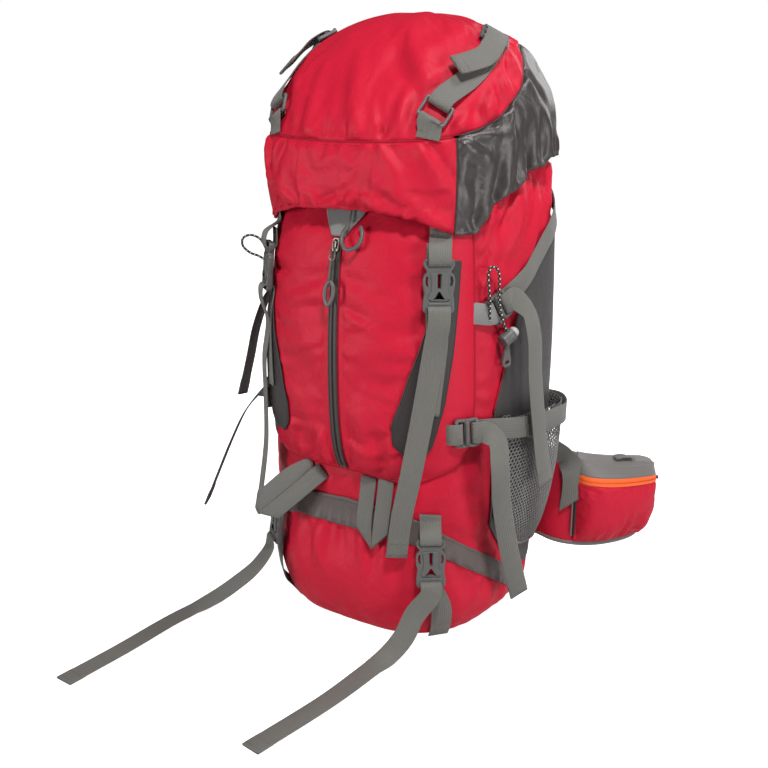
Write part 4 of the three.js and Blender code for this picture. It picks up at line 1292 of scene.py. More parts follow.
# Webbing, tubes, stitches and moulded plates
@dataclass
class Route:
    """Stops of a flat strap: places, and the side that its width lies along or the way that it faces."""

    points: list = field(default_factory=list)
    sides: list = field(default_factory=list)
    normals: list = field(default_factory=list)

    def stop(self, point: np.ndarray, side: np.ndarray | None, normal: np.ndarray | None = None) -> None:
        """Adds a stop.

        Args:
            point: its place.
            side: direction of the strap's width.
            normal: direction that the strap faces, where no side is given.
        """
        self.points.append(np.asarray(point, float))
        self.sides.append(side)
        self.normals.append(normal)

    def laid(self, form: Form, places: Sequence, lift: float, sign: int = 1) -> "Route":
        """Adds stops that lie on a form.

        Args:
            form: the form.
            places: its coordinates, and a stand-off.
            lift: distance off the form.
            sign: side of the pack.

        Returns:
            The route.
        """
        for u, v, *extra in places:
            self.stop(form.point(sign * u, v, lift + sum(extra)), None, form.normal(sign * u, v))
        return self

    def threaded(self, matrix: np.ndarray, places: Sequence) -> "Route":
        """Adds stops along and out from a piece of hardware.

        Args:
            matrix: frame of the hardware.
            places: distances along it and out from it.

        Returns:
            The route.
        """
        for along, out in places:
            self.stop(carried(matrix, (0, along, out)), matrix[:3, 0])
        return self

    def hanging(self, places: Sequence, side: np.ndarray) -> "Route":
        """Adds free stops.

        Args:
            places: the stops.
            side: direction of the strap's width.

        Returns:
            The route.
        """
        for place in places:
            self.stop(place, np.asarray(side, float))
        return self

    def resolved(self) -> tuple[np.ndarray, np.ndarray]:
        """The whole route.

        Returns:
            The stops' places and their sides, turned the same way round.
        """
        points = np.array(self.points)
        ahead = directions(points)
        sides: list[np.ndarray] = []
        for k, side in enumerate(self.sides):
            side = np.cross(ahead[k], self.normals[k]) if side is None else side
            side = unit(side - ahead[k] * side.dot(ahead[k]))
            if sides and side.dot(sides[-1]) < 0:
                side = -side
            sides.append(side)
        return points, np.array(sides)


def web_piece(name: str, route: Route, width: float = WEB_WIDTH, thick: float = WEB_THICK,
              hem: float = 0.0, twist: float = 0.0, mitre: float = 0.0) -> bpy.types.Object:
    """Makes a webbing strap along a route.

    Args:
        name: the piece's name.
        route: its stops.
        width: width in millimetres.
        thick: thickness in millimetres.
        hem: length of the folded hem at its far end.
        twist: how far its edges waver, in millimetres.
        mitre: slant of its far end, as a slope.

    Returns:
        A closed strip with rounded edges.
    """
    points, sides = route.resolved()
    line, where = spline(points)
    index, share = cell(np.arange(len(points), dtype=float), where)
    ahead = directions(line)
    side = sides[index] * (1 - share[:, None]) + sides[index + 1] * share[:, None]
    side = unit(side - ahead * (side * ahead).sum(axis=1)[:, None])
    out = np.cross(side, ahead)
    along = distances(line)
    end = along[-1]
    plies = 1 + HEM_PLY * smoothstep(along, end - hem - 1.5, end - hem) if hem else np.ones(len(along))
    slant = mitre * width * smoothstep(along, end - width, end)
    across, up = np.array(WEB_SECTION).T[:, None]
    rise = up * thick / 2 * plies[:, None] + (twist * np.sin(along / 31.0))[:, None] * (across * 2) ** 2
    spread = across[..., None]
    corners = line[:, None] + side[:, None] * spread * width + ahead[:, None] * slant[:, None, None] * spread
    corners = corners + out[:, None] * rise[..., None]
    beside = across * width + np.where(up > 0, width * 1.3, 0)
    lay = np.stack(np.broadcast_arrays(along[:, None], beside), axis=-1)
    return facing_out(new_piece(name, corners, tube_faces(len(line), len(WEB_SECTION)), lay))


def tail_piece(name: str, route: Route, finish: Finish, node: str,
               hem: float = 20.0, twist: float = 0.4) -> None:
    """Makes a strap with a free end: its webbing, its folded hem and the stitches across the hem.

    Args:
        name: the piece's name.
        route: its stops, the free end last.
        finish: its finish.
        node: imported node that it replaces.
        hem: length of the hem.
        twist: how far its edges waver.
    """
    kept(web_piece(name, route, hem=hem, twist=twist), finish, node)
    points, sides = route.resolved()
    line, _ = spline(points)
    along = distances(line)
    ahead = unit(line[-1] - line[-3])
    side = unit(sides[-1] - ahead * sides[-1].dot(ahead))
    out = np.cross(side, ahead)
    shares = np.linspace(-0.46, 0.46, 12)[:, None]
    rows = []
    for back in (4.0, hem - 3.0):
        middle = part_way(line, along, along[-1] - back)
        for face in (-1, 1):
            places = middle + side * shares * WEB_WIDTH + out * (face * WEB_THICK * 0.98)
            rows.append((places, np.repeat(out[None] * face, len(shares), axis=0)))
    kept(stitch_piece(name + "_hem", rows, 2.6, 0.4), THREAD_DARK)


def tube_piece(name: str, line: np.ndarray, radius: float, sides: int = 8) -> bpy.types.Object:
    """Makes a closed round tube.

    Args:
        name: the piece's name.
        line: places along it, close together.
        radius: its radius.
        sides: corners in a ring.

    Returns:
        The tube.
    """
    line = np.asarray(line, float)
    ahead = directions(line)
    angles = 2 * np.pi * np.arange(sides) / sides
    start = UP if abs(ahead[0].dot(UP)) < 0.9 else np.array([1.0, 0, 0])
    across = unit(np.cross(ahead[0], start))
    rings = []
    for place, way in zip(line, ahead):
        across = unit(across - way * across.dot(way))
        other = np.cross(way, across)
        rings.append(place + radius * (np.cos(angles)[:, None] * across + np.sin(angles)[:, None] * other))
    lay = np.stack(np.meshgrid(distances(line), radius * angles, indexing="ij"), axis=-1)
    return facing_out(new_piece(name, np.array(rings), tube_faces(len(line), sides), lay))


def turned(name: str, profile: Sequence[tuple[float, float]], matrix: np.ndarray,
           steps: int = 40) -> bpy.types.Object:
    """Makes a solid of revolution about a frame's y axis.

    Args:
        name: the piece's name.
        profile: radii and heights, from the axis round to the axis.
        matrix: the frame.
        steps: corners round it.

    Returns:
        The solid.
    """
    corners, faces = [], []
    count = len(profile)
    for k in range(steps):
        angle = 2 * math.pi * k / steps
        corners.extend((r * math.sin(angle), y, r * math.cos(angle)) for r, y in profile)
        for j in range(count - 1):
            a, b = k * count + j, (k + 1) % steps * count + j
            if profile[j][0] == 0:
                faces.append((a, b + 1, a + 1))
            elif profile[j + 1][0] == 0:
                faces.append((a, b, a + 1))
            else:
                faces.append((a, b, b + 1, a + 1))
    piece = new_piece(name, carried(matrix, np.array(corners)), faces)
    welded(piece.data, flat_ends=False)
    return facing_out(piece)


def stitch_piece(name: str, lines: Sequence[tuple[np.ndarray, np.ndarray]], pitch: float = 4.0,
                 size: float = 0.55) -> bpy.types.Object:
    """Makes rows of stitches.

    Args:
        name: the piece's name.
        lines: places along each row, and the cloth's outward directions there.
        pitch: length of a stitch and its gap.
        size: thickness of the thread.

    Returns:
        One mesh of small threads, pointed at both ends.
    """
    corners, faces = [], []
    for line, normals in lines:
        line, normals = np.asarray(line, float), np.asarray(normals, float)
        along = distances(line)
        for start in np.arange(0.0, along[-1] - pitch * 0.6, pitch):
            at = start + pitch * np.array([0.0, 0.32, 0.64])
            first, middle, last = part_way(line, along, at)
            out = unit(part_way(normals, along, at[1]))
            across = np.cross(unit(last - first), out)
            base = len(corners)
            corners.append(first)
            for turn in np.radians((0, 90, 180, 270)):
                corners.append(middle + size * (across * math.cos(turn) + out * (math.sin(turn) * 0.8)))
            corners.append(last)
            for m in range(4):
                n = (m + 1) % 4
                faces.append((base, base + 1 + n, base + 1 + m))
                faces.append((base + 5, base + 1 + m, base + 1 + n))
    return new_piece(name, np.array(corners), faces)


def plate_piece(name: str, loops: Sequence[Sequence[tuple[float, float]]], thick: float, bevel: float,
                matrix: np.ndarray) -> bpy.types.Object:
    """Makes a moulded plate with rounded edges.

    Args:
        name: the piece's name.
        loops: its outline and its holes, in its own plane.
        thick: thickness in millimetres.
        bevel: rounding of its edges.
        matrix: frame that it lies in, its underside at z 0.

    Returns:
        The plate.
    """
    outline = bpy.data.curves.new(name, "CURVE")
    outline.dimensions = "2D"
    outline.fill_mode = "BOTH"
    outline.extrude = (thick / 2 - bevel) * MM
    outline.bevel_depth = bevel * MM
    outline.bevel_resolution = 2
    outline.offset = -bevel * MM
    for loop in loops:
        line = outline.splines.new("POLY")
        line.points.add(len(loop) - 1)
        for point, (x, y) in zip(line.points, loop):
            point.co = (x * MM, y * MM, 0, 1)
        line.use_cyclic_u = True
    holder = linked(name, outline)
    mesh = evaluated(holder)
    bpy.data.objects.remove(holder)
    bpy.data.curves.remove(outline)
    place = raised(matrix, thick / 2)
    place[:3, 3] *= MM
    mesh.transform(Matrix(place.tolist()))
    mesh.name = name
    welded(mesh)
    return linked(name, mesh)


def rounded(points: Sequence[tuple[float, float]], radius: float,
            count: int = 4) -> list[tuple[float, float]]:
    """Rounds the corners of a closed outline.

    Args:
        points: the outline.
        radius: the rounding.
        count: places on each rounded corner.

    Returns:
        The rounded outline.
    """
    result = []
    places = [np.array(p, float) for p in points]
    for before, corner, after in zip(places[-1:] + places, places, places[1:] + places[:1]):
        before, after = before - corner, after - corner
        reach = min(radius, np.linalg.norm(before) * 0.48, np.linalg.norm(after) * 0.48)
        start, end = corner + unit(before) * reach, corner + unit(after) * reach
        for share in np.linspace(0, 1, count):
            place = start * (1 - share) ** 2 + 2 * corner * share * (1 - share) + end * share ** 2
            result.append((float(place[0]), float(place[1])))
    return result


def mirrored(half: Sequence[tuple[float, float]]) -> list[tuple[float, float]]:
    """Whole outline from its right half."""
    return list(half) + [(-x, y) for x, y in reversed(half)]


def box_loop(half: float, low: float, high: float, radius: float) -> list[tuple[float, float]]:
    """Rounded rectangle from its half width and its two levels."""
    return rounded([(-half, low), (half, low), (half, high), (-half, high)], radius)


# Studio
@dataclass
class Studio:
    """Camera at the photograph's angle, pale floor and soft light."""

    place: tuple[float, float, float] = (0.6546, -1.0797, 0.662)
    pitch: float = 16.8
    azimuth: float = 33.0
    lens: float = 47.9
    sensor: float = 36.0
    floor: float = 12.0
    drop: float = 0.3
    ambient: float = 0.06
    lamps: tuple = (
        ("key", (1.1, -1.2, 2.6), (0, 0, 0.35), 0.35, 52),
        ("fill", (2.6, -0.6, 0.6), (0, 0, 0.2), 0.7, 25),
        ("left", (-1.5, -2.3, 0.65), (0, 0, 0.12), 0.9, 32),
        ("top", (1.0, 0.4, 2.4), (0, 0, 0.5), 0.6, 19),
        ("back", (0.4, 2.6, 1.5), (0, 0, 0.35), 1.8, 20),
    )

    def build(self) -> None:
        """Makes the camera, the floor and the lights."""
        scene = bpy.context.scene
        camera = bpy.data.cameras.new("camera")
        camera.lens = self.lens
        camera.sensor_width = self.sensor
        scene.camera = linked("camera", camera)
        scene.camera.location = self.place
        scene.camera.rotation_euler = (math.radians(90 - self.pitch), 0, math.radians(self.azimuth))
        scene.view_settings.view_transform = "Standard"
        self.ground()
        self.surroundings()
        for lamp in self.lamps:
            self.lamp(*lamp)

    def ground(self) -> None:
        """Makes the floor, white to the camera."""
        half = self.floor / MM
        ways = ((-1, -1), (1, -1), (1, 1), (-1, 1))
        corners = np.array([(x * half, y * half, -self.drop) for x, y in ways])
        floor = new_piece("floor", corners, [(0, 1, 2, 3)])
        finish = bpy.data.materials.new("floor")
        finish.use_nodes = True
        nodes = Nodes(finish.node_tree)
        shader = finish.node_tree.nodes["Principled BSDF"]
        nodes.fill(shader, {"Roughness": 0.9, "Emission Color": (1, 1, 1, 1)})
        seen = nodes.add("LightPath").outputs["Is Camera Ray"]
        pale = nodes.add("Mix", data_type="RGBA")
        nodes.join(seen, pale.inputs["Factor"])
        nodes.fill(pale, {"A": (0.62, 0.62, 0.62, 1), "B": (0.92, 0.92, 0.92, 1)})
        nodes.join(pale.outputs["Result"], shader.inputs["Base Color"])
        nodes.join(seen, shader.inputs["Emission Strength"])
        floor.data.materials.append(finish)

    def surroundings(self) -> None:
        """Makes the pale surroundings, white to the camera."""
        world = bpy.data.worlds.new("surroundings")
        world.use_nodes = True
        nodes = Nodes(world.node_tree)
        background = world.node_tree.nodes["Background"]
        nodes.fill(background, {"Color": (1, 1, 1, 1)})
        seen = nodes.math("MULTIPLY", nodes.add("LightPath").outputs["Is Camera Ray"], 1 - self.ambient)
        nodes.join(nodes.math("ADD", seen, self.ambient), background.inputs["Strength"])
        bpy.context.scene.world = world

    def lamp(self, name: str, place: tuple, aim: tuple, size: float, power: float) -> None:
        """Makes a soft lamp.

        Args:
            name: its name.
            place: where it stands, in metres.
            aim: where it points.
            size: its width, in metres.
            power: its power, in watts.
        """
        light = bpy.data.lights.new(name, "AREA")
        light.shape = "DISK"
        light.size = size
        light.energy = power
        holder = linked(name, light)
        holder.location = place
        holder.rotation_euler = (Vector(aim) - Vector(place)).to_track_quat("-Z", "Y").to_euler()


# Hardware
@dataclass(frozen=True)
class Moulding:
    """Plastic hardware on webbing, in millimetres."""

    length: float
    thick: float
    under: float = 3.2

    @property
    def top(self) -> float:
        """Height of webbing that lies over it."""
        return self.under + self.thick + WEB_LIFT

    def build(self, name: str, matrix: np.ndarray) -> bpy.types.Object:
        """Makes the piece in a frame whose z 0 is its underside."""
        raise NotImplementedError(name)

    def fitted(self, node: str, matrix: np.ndarray, name: str = "") -> None:
        """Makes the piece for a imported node, over the webbing that passes under it."""
        kept(self.build((name or node) + "_moulded", raised(matrix, self.under)), PLASTIC, node)


@dataclass(frozen=True)
class BuckleShape(Moulding):
    """Fastened side-release buckle, drawn 35 by 58 mm and stretched to its size."""

    length: float = 58.0
    thick: float = 8.0
    width: float = 35.0
    slot_at: float = 23.5

    def build(self, name: str, matrix: np.ndarray) -> bpy.types.Object:
        """Makes the buckle.

        Args:
            name: the piece's name.
            matrix: frame of the buckle, y towards its anchor, z 0 on its underside.

        Returns:
            The piece.
        """
        place = matrix @ np.diag([self.width / 35, self.length / 58, 1, 1])
        half = [(14.2, -29), (16.6, -27), (17.2, -24), (16.6, -14), (15.4, -8), (16.2, -4), (17.4, 1),
                (17.5, 7), (16.4, 12), (13.2, 15), (13.4, 17), (15.6, 19.5), (17.2, 23), (16.8, 27),
                (14.6, 29)]
        arm = [(12.4, -0.5), (14.2, 1.5), (14.9, 5), (14.4, 9.4), (12.8, 11.2), (12.1, 9), (12.6, 5),
               (12.0, 1.5)]
        wedge = mirrored([(9.8, -14.2), (7.2, -12.8), (4.4, -10.2), (2.2, -6.6), (1.2, -5.0)])
        loops = [
            rounded(mirrored(half), 1.6),
            box_loop(12.9, 21.2, 25.2, 1.4),
            rounded(arm, 0.8, 3),
            rounded([(-x, y) for x, y in arm], 0.8, 3),
            box_loop(1.5, -2.2, 13.0, 1.3),
            rounded(wedge, 0.6, 3),
            box_loop(12.6, -25.2, -22.4, 1.0),
        ]
        body = plate_piece(name + "_body", loops, self.thick - 1.2, 1.0, place)
        ridge = [
            rounded(mirrored([(11.6, -14.5), (11.6, -9), (8.6, -6), (8.2, 4), (9.6, 12.5), (8.8, 15)]), 1.4),
            box_loop(2.4, -3.2, 13.8, 1.8),
            rounded(mirrored([(10.4, -15.5), (7.6, -13.4), (4.8, -10.6), (2.8, -7), (0.8, -4.4)]), 0.6, 3),
        ]
        boss = plate_piece(name + "_boss", ridge, 3.2, 0.8, raised(place, self.thick - 3.0))
        bar = [carried(place, (x, -19.0, self.thick - 3.4)) for x in np.linspace(-12.4, 12.4, 9)]
        roll = tube_piece(name + "_roll", np.array(bar), 2.9, 12)
        return joined(name, [body, boss, roll])


@dataclass(frozen=True)
class LockShape(Moulding):
    """Ladder lock with three bars: its label, place, height and radius are given for each."""

    length: float = 28.0
    thick: float = 5.0
    window_at: float = 6.5
    bars: tuple = (("middle", 0.0, 4.2, 2.7), ("front", -11.9, 3.6, 2.0), ("lip", 11.9, 3.9, 2.2))

    def build(self, name: str, matrix: np.ndarray) -> bpy.types.Object:
        """Makes the ladder lock.

        Args:
            name: the piece's name.
            matrix: frame whose z 0 is its underside.

        Returns:
            The piece.
        """
        half = [(14.5, -14), (16.6, -12.4), (17, -9), (16.4, 0), (17, 9), (16.6, 12.4), (14.5, 14)]
        loops = [rounded(mirrored(half), 1.6), box_loop(13.4, -9.6, -3.4, 1.2), box_loop(13.4, 3.4, 9.6, 1.2)]
        pieces = [plate_piece(name + "_body", loops, self.thick - 0.6, 0.9, matrix)]
        for label, at, rise, radius in self.bars:
            line = [carried(matrix, (x, at, rise)) for x in np.linspace(-14.6, 14.6, 9)]
            pieces.append(tube_piece(f"{name}_{label}", np.array(line), radius, 10))
        return joined(name, pieces)


@dataclass(frozen=True)
class RingShape(Moulding):
    """Rectangular ring for webbing."""

    length: float = 25.0
    thick: float = 4.0
    width: float = 34.0
    bar: float = 4.0

    def build(self, name: str, matrix: np.ndarray) -> bpy.types.Object:
        """Makes the ring.

        Args:
            name: the piece's name.
            matrix: frame whose z 0 is its underside.

        Returns:
            The piece.
        """
        across, along = self.width / 2, self.length / 2
        loops = [box_loop(across, -along, along, 4), box_loop(across - 3.5, -along + 3.6, along - 3.6, 1.6)]
        return plate_piece(name, loops, self.thick, 1.6, matrix)


BUCKLE = BuckleShape()
LOCK = LockShape()
RING = RingShape()


def roundwards(degrees: float) -> np.ndarray:
    """Direction round the bag at a bearing."""
    bearing = math.radians(degrees)
    return np.array([math.cos(bearing), math.sin(bearing), 0.0])


@dataclass
class Sided:
    """A sub-assembly on one side of the pack."""

    side: Side

    @property
    def sign(self) -> int:
        """Sign of the side's bearings."""
        return self.side.value

    def named(self, name: str) -> str:
        """A piece's or a node's name with its side."""
        return f"{name}_{self.side.label}"

    def faced(self, grid: np.ndarray) -> np.ndarray:
        """A grid of the right side, turned on the left one so that its sheet faces outwards."""
        return grid[::-1] if self.side is Side.LEFT else grid


# Bag
@dataclass
class Bag:
    """The main shell and its band."""

    columns: int = 120
    row_step: float = 8.0
    floor_rings: int = 5

    def build(self) -> None:
        """Makes the shell and the band."""
        self.shell()
        self.band()

    def shell(self) -> None:
        """Makes the red shell, open at the collar and puckered between what is sewn over it."""
        bearings = np.linspace(-180, 180, self.columns, endpoint=False)
        heights = np.concatenate([np.arange(0.0, BAG_TOP, self.row_step), [BAG_TOP]])
        u, z = np.meshgrid(bearings, heights, indexing="ij")
        wall = BAG.exact(u, z)
        shares = np.linspace(0.12, 1, self.floor_rings, endpoint=False)
        points = np.concatenate([wall[:, :1] * shares[None, :, None], wall], axis=1)
        held = np.ones(points.shape[:2])
        held[:, self.floor_rings:] = self.held(u, z)
        rows = points.shape[1]
        rim = range((self.columns - 1) * rows, -1, -rows)
        settling = Settling(pressure=1.6, grow=0.03, cap=4.0, frames=16)
        Panel("bag_shell", points, held, settling, self.creases(), ring=True, rim=rim).build(RED, "main_bag")

    def creases(self) -> list[Fold]:
        """Creases of the shell.

        Returns:
            Those below the lid, on both sides of the band and beside the front pocket.
        """
        found: list[Fold] = []
        for side in Side:
            sign = side.value
            u = np.linspace(54, 128, 60)
            rim = LID_SECTIONS.smooth(LID_EDGES.straight(u, "rim"), "z")
            hung = wall_lie(BAG.exact(sign * u, rim))
            found += Puckers(16, 130, 6, 7.5, seed=5, slant=0.3, lean=0.5 * sign).folds(hung, (0, -1))
            u = np.linspace(0, BAND_END, 60)
            low = wall_lie(BAG.exact(sign * u, BAND_EDGES.straight(u, "low")))
            found += Puckers(12, 80, 7, 4.6, seed=9).folds(low, (0, -1))
            u = np.linspace(52, BAND_END, 40)
            high = wall_lie(BAG.exact(sign * u, BAND_EDGES.straight(u, "high")))
            found += Puckers(8, 60, 7, 3.0, seed=12).folds(high, (0, 1))
            edge = wall_lie(BAG.exact(sign * np.full(50, POCKET_EDGE + 1), np.linspace(240, 480, 50)))
            found += Puckers(9, 26, 6, 2.4, seed=14).folds(edge, (sign, 0))
        return found

    def held(self, u: np.ndarray, z: np.ndarray) -> np.ndarray:
        """How firmly the shell is held: at its seams, under its straps and under what is sewn over it.

        Args:
            u: bearings, in degrees.
            z: heights.

        Returns:
            1 where it is held and 0 elsewhere.
        """
        aside = np.abs(u)
        strap = ((np.abs(aside - 42) < 7) & (z < 75)) | ((np.abs(aside - 38) < 9) & (z > 75) & (z < 190))
        strap |= (np.abs(aside - 60) < 14) & (np.abs(z - 408) < 26)
        band = (z > BAND_EDGES.straight(aside, "low") - 4) & (z < BAND_EDGES.straight(aside, "high") + 4)
        band &= aside < BAND_END + 4
        pocket = (aside < POCKET_BULGES.straight(z, "edge") + 1) & (z > 212) & (z < 548)
        panel = (aside > 62) & (aside < 136) & (z > SIDE_PANEL_EDGES.straight(aside, "low") - 4)
        panel &= z < SIDE_PANEL_EDGES.straight(aside, "high") + 4
        ends = (z < 12) | (z > 560) | (aside > 136)
        return np.where(band | pocket | panel | ends | strap, 1.0, 0.0)

    def band(self) -> None:
        """Makes the dark band round the front, ruffled along its lower edge."""
        u = np.linspace(-BAND_END, BAND_END, 121)
        rows = np.linspace(0, 1, 9)
        low, high = (BAND_EDGES.straight(np.abs(u), name) for name in ("low", "high"))
        ruffle = 1.5 * np.sin(np.radians(u) * 58 + 2 * np.sin(np.radians(u) * 9))
        flare = ruffle[:, None] * (1 - rows) ** 2
        lift = SEWN_LIFT + TRIM + flare + 0.5 * np.sin(rows * np.pi)
        points = BAG.place(u[:, None], between(low, high, rows), np.maximum(lift, 1.0))
        kept(thickened(sheet_piece("band_cloth", points), TRIM), BAND, "bottom_band")
        lines = []
        for share in (0.12, 0.88):
            places = low + (high - low) * share
            lines.append((BAG.place(u, places, SEWN_LIFT + TRIM + 0.5), BAG.normal(u, places)))
        kept(stitch_piece("band_stitches", lines), TAPE)


@dataclass
class SidePanel(Sided):
    """A dark rear side panel."""

    start: float = 63.0
    end: float = 135.0
    band_ends: float = 108.0

    def build(self) -> None:
        """Makes the panel and the piping along its front edge."""
        u = np.linspace(self.start, self.end, 37)
        band = np.where(u > self.band_ends, 0, BAND_EDGES.straight(u, "high") + 2)
        low = np.maximum(SIDE_PANEL_EDGES.straight(u, "low"), band)
        z = between(low, SIDE_PANEL_EDGES.straight(u, "high"), np.linspace(0, 1, 41))
        bearings = self.sign * u[:, None]
        points = BAG.place(bearings, z, SEWN_LIFT + TRIM)
        points = points + BAG.normal(bearings, z) * (0.5 * wander(points, 34, 3.1) + 0.4)[..., None]
        piece = sheet_piece(self.named("side_panel_cloth"), self.faced(points))
        kept(thickened(piece, TRIM), PANEL, self.named("side_panel"))
        seam = np.linspace(self.start, 84, 30)
        line = BAG.place(self.sign * seam, SIDE_PANEL_EDGES.straight(seam, "high") + 1.5, SEWN_LIFT)
        kept(tube_piece(self.named("side_seam"), line, 1.2), THREAD)


@dataclass
class NetPocket(Sided):
    """A net pocket with holes and a binding."""

    pitch: float = 5.0
    hole: float = 0.7
    thick: float = 0.8
    bulge: float = 17.0
    start: float = 64.0
    end: float = 133.0
    low: float = 90.0
    tall: float = 200.0
    wide: float = 205.0
    radius: float = 163.0

    def place(self, u: np.ndarray, z: np.ndarray) -> np.ndarray:
        """Place on the net.

        Args:
            u: bearing aside, in degrees.
            z: height.

        Returns:
            The place, in millimetres.
        """
        low, high = (MESH_EDGES.straight(u, name) for name in ("low", "high"))
        across = np.clip((u - self.start) / (self.end - self.start), 0, 1)
        rise = np.clip((z - low) / (high - low), 0, 1)
        seat = SEWN_LIFT + TRIM + SEWN_LIFT + GAP + TRIM
        lift = seat + self.bulge * np.sin(np.pi * across) ** 0.8 * np.sin(rise * 1.9) ** 0.8
        return BAG.place(self.sign * u, z, lift)

    def build(self) -> None:
        """Makes the net and its binding."""
        self.net()
        self.binding()

    def net(self) -> None:
        """Makes the net as rings of thread round six-sided holes."""
        radius = self.pitch / math.sqrt(3)
        degree = math.degrees(1 / self.radius)
        shared: dict[tuple[int, int], int] = {}
        places: list[tuple[float, float]] = []
        faces = []
        spokes = [(radius * math.cos(a), radius * math.sin(a)) for a in np.radians(np.arange(30, 390, 60))]

        def corner(x: float, y: float) -> int:
            """Number of a shared corner.

            Args:
                x: its place across the net.
                y: its height.

            Returns:
                The number.
            """
            key = (round(x * 50), round(y * 50))
            if key not in shared:
                shared[key] = len(places)
                places.append((x, y))
            return shared[key]

        for row in range(int(self.tall / (1.5 * radius))):
            y = self.low + row * 1.5 * radius
            for column in range(int(self.wide / self.pitch)):
                x = (column + 0.5 * (row % 2)) * self.pitch
                if not self.inside(self.start + x * degree, y):
                    continue
                ring = [corner(x + across, y + up) for across, up in spokes]
                first = len(places)
                places.extend((x + self.hole * across, y + self.hole * up) for across, up in spokes)
                for m in range(6):
                    n = (m + 1) % 6
                    faces.append((ring[m], ring[n], first + n, first + m))
        flat = np.array(places)
        u = np.clip(self.start + flat[:, 0] * degree, self.start + 0.2, self.end - 0.2)
        if self.side is Side.LEFT:
            faces = [face[::-1] for face in faces]
        piece = new_piece(self.named("net"), self.place(u, flat[:, 1]), faces, flat)
        kept(thickened(piece, self.thick, smooth=0), NET, self.named("mesh_pocket"))

    def inside(self, u: float, z: float) -> bool:
        """Whether a hole lies inside the pocket's edges."""
        low, high = (MESH_EDGES.straight(u, name) for name in ("low", "high"))
        return self.start + 1 <= u <= self.end - 1 and low + 1 <= z <= high - 2

    def binding(self) -> None:
        """Makes the grey binding along the pocket's lower edge."""
        front, back, count = self.start + 0.4, self.end - 0.4, 14
        u = np.concatenate([np.full(count, front), np.linspace(front, back, 70), np.full(count, back)])
        z = MESH_EDGES.straight(u, "low")
        z[:count] = np.linspace(284, z[count], count)
        z[-count:] = np.linspace(z[-count - 1], 264, count)
        kept(tube_piece(self.named("net_binding"), self.place(u, z), 1.9), GREY)


# Front pocket
@dataclass
class Gusset(Sided):
    """A dark gusset behind a lid strap."""

    low: float = 248.0
    high: float = 470.0

    def build(self) -> None:
        """Makes the gusset and its piping."""
        z = np.linspace(self.low, self.high, 45)
        inner, outer = (GUSSET_EDGES.straight(z, name) for name in ("inner", "outer"))
        u = between(inner, outer, np.linspace(0, 1, 9)).T
        points = pocket_place(self.sign * u, np.broadcast_to(z, u.shape), SEWN_LIFT + TRIM)
        piece = sheet_piece(self.named("gusset_cloth"), self.faced(points))
        kept(thickened(piece, TRIM), GUSSET, self.named("pocket_gusset"))
        line = pocket_place(self.sign * inner, z, SEWN_LIFT + 1.0)
        kept(tube_piece(self.named("gusset_piping"), line, 1.0), COIL)


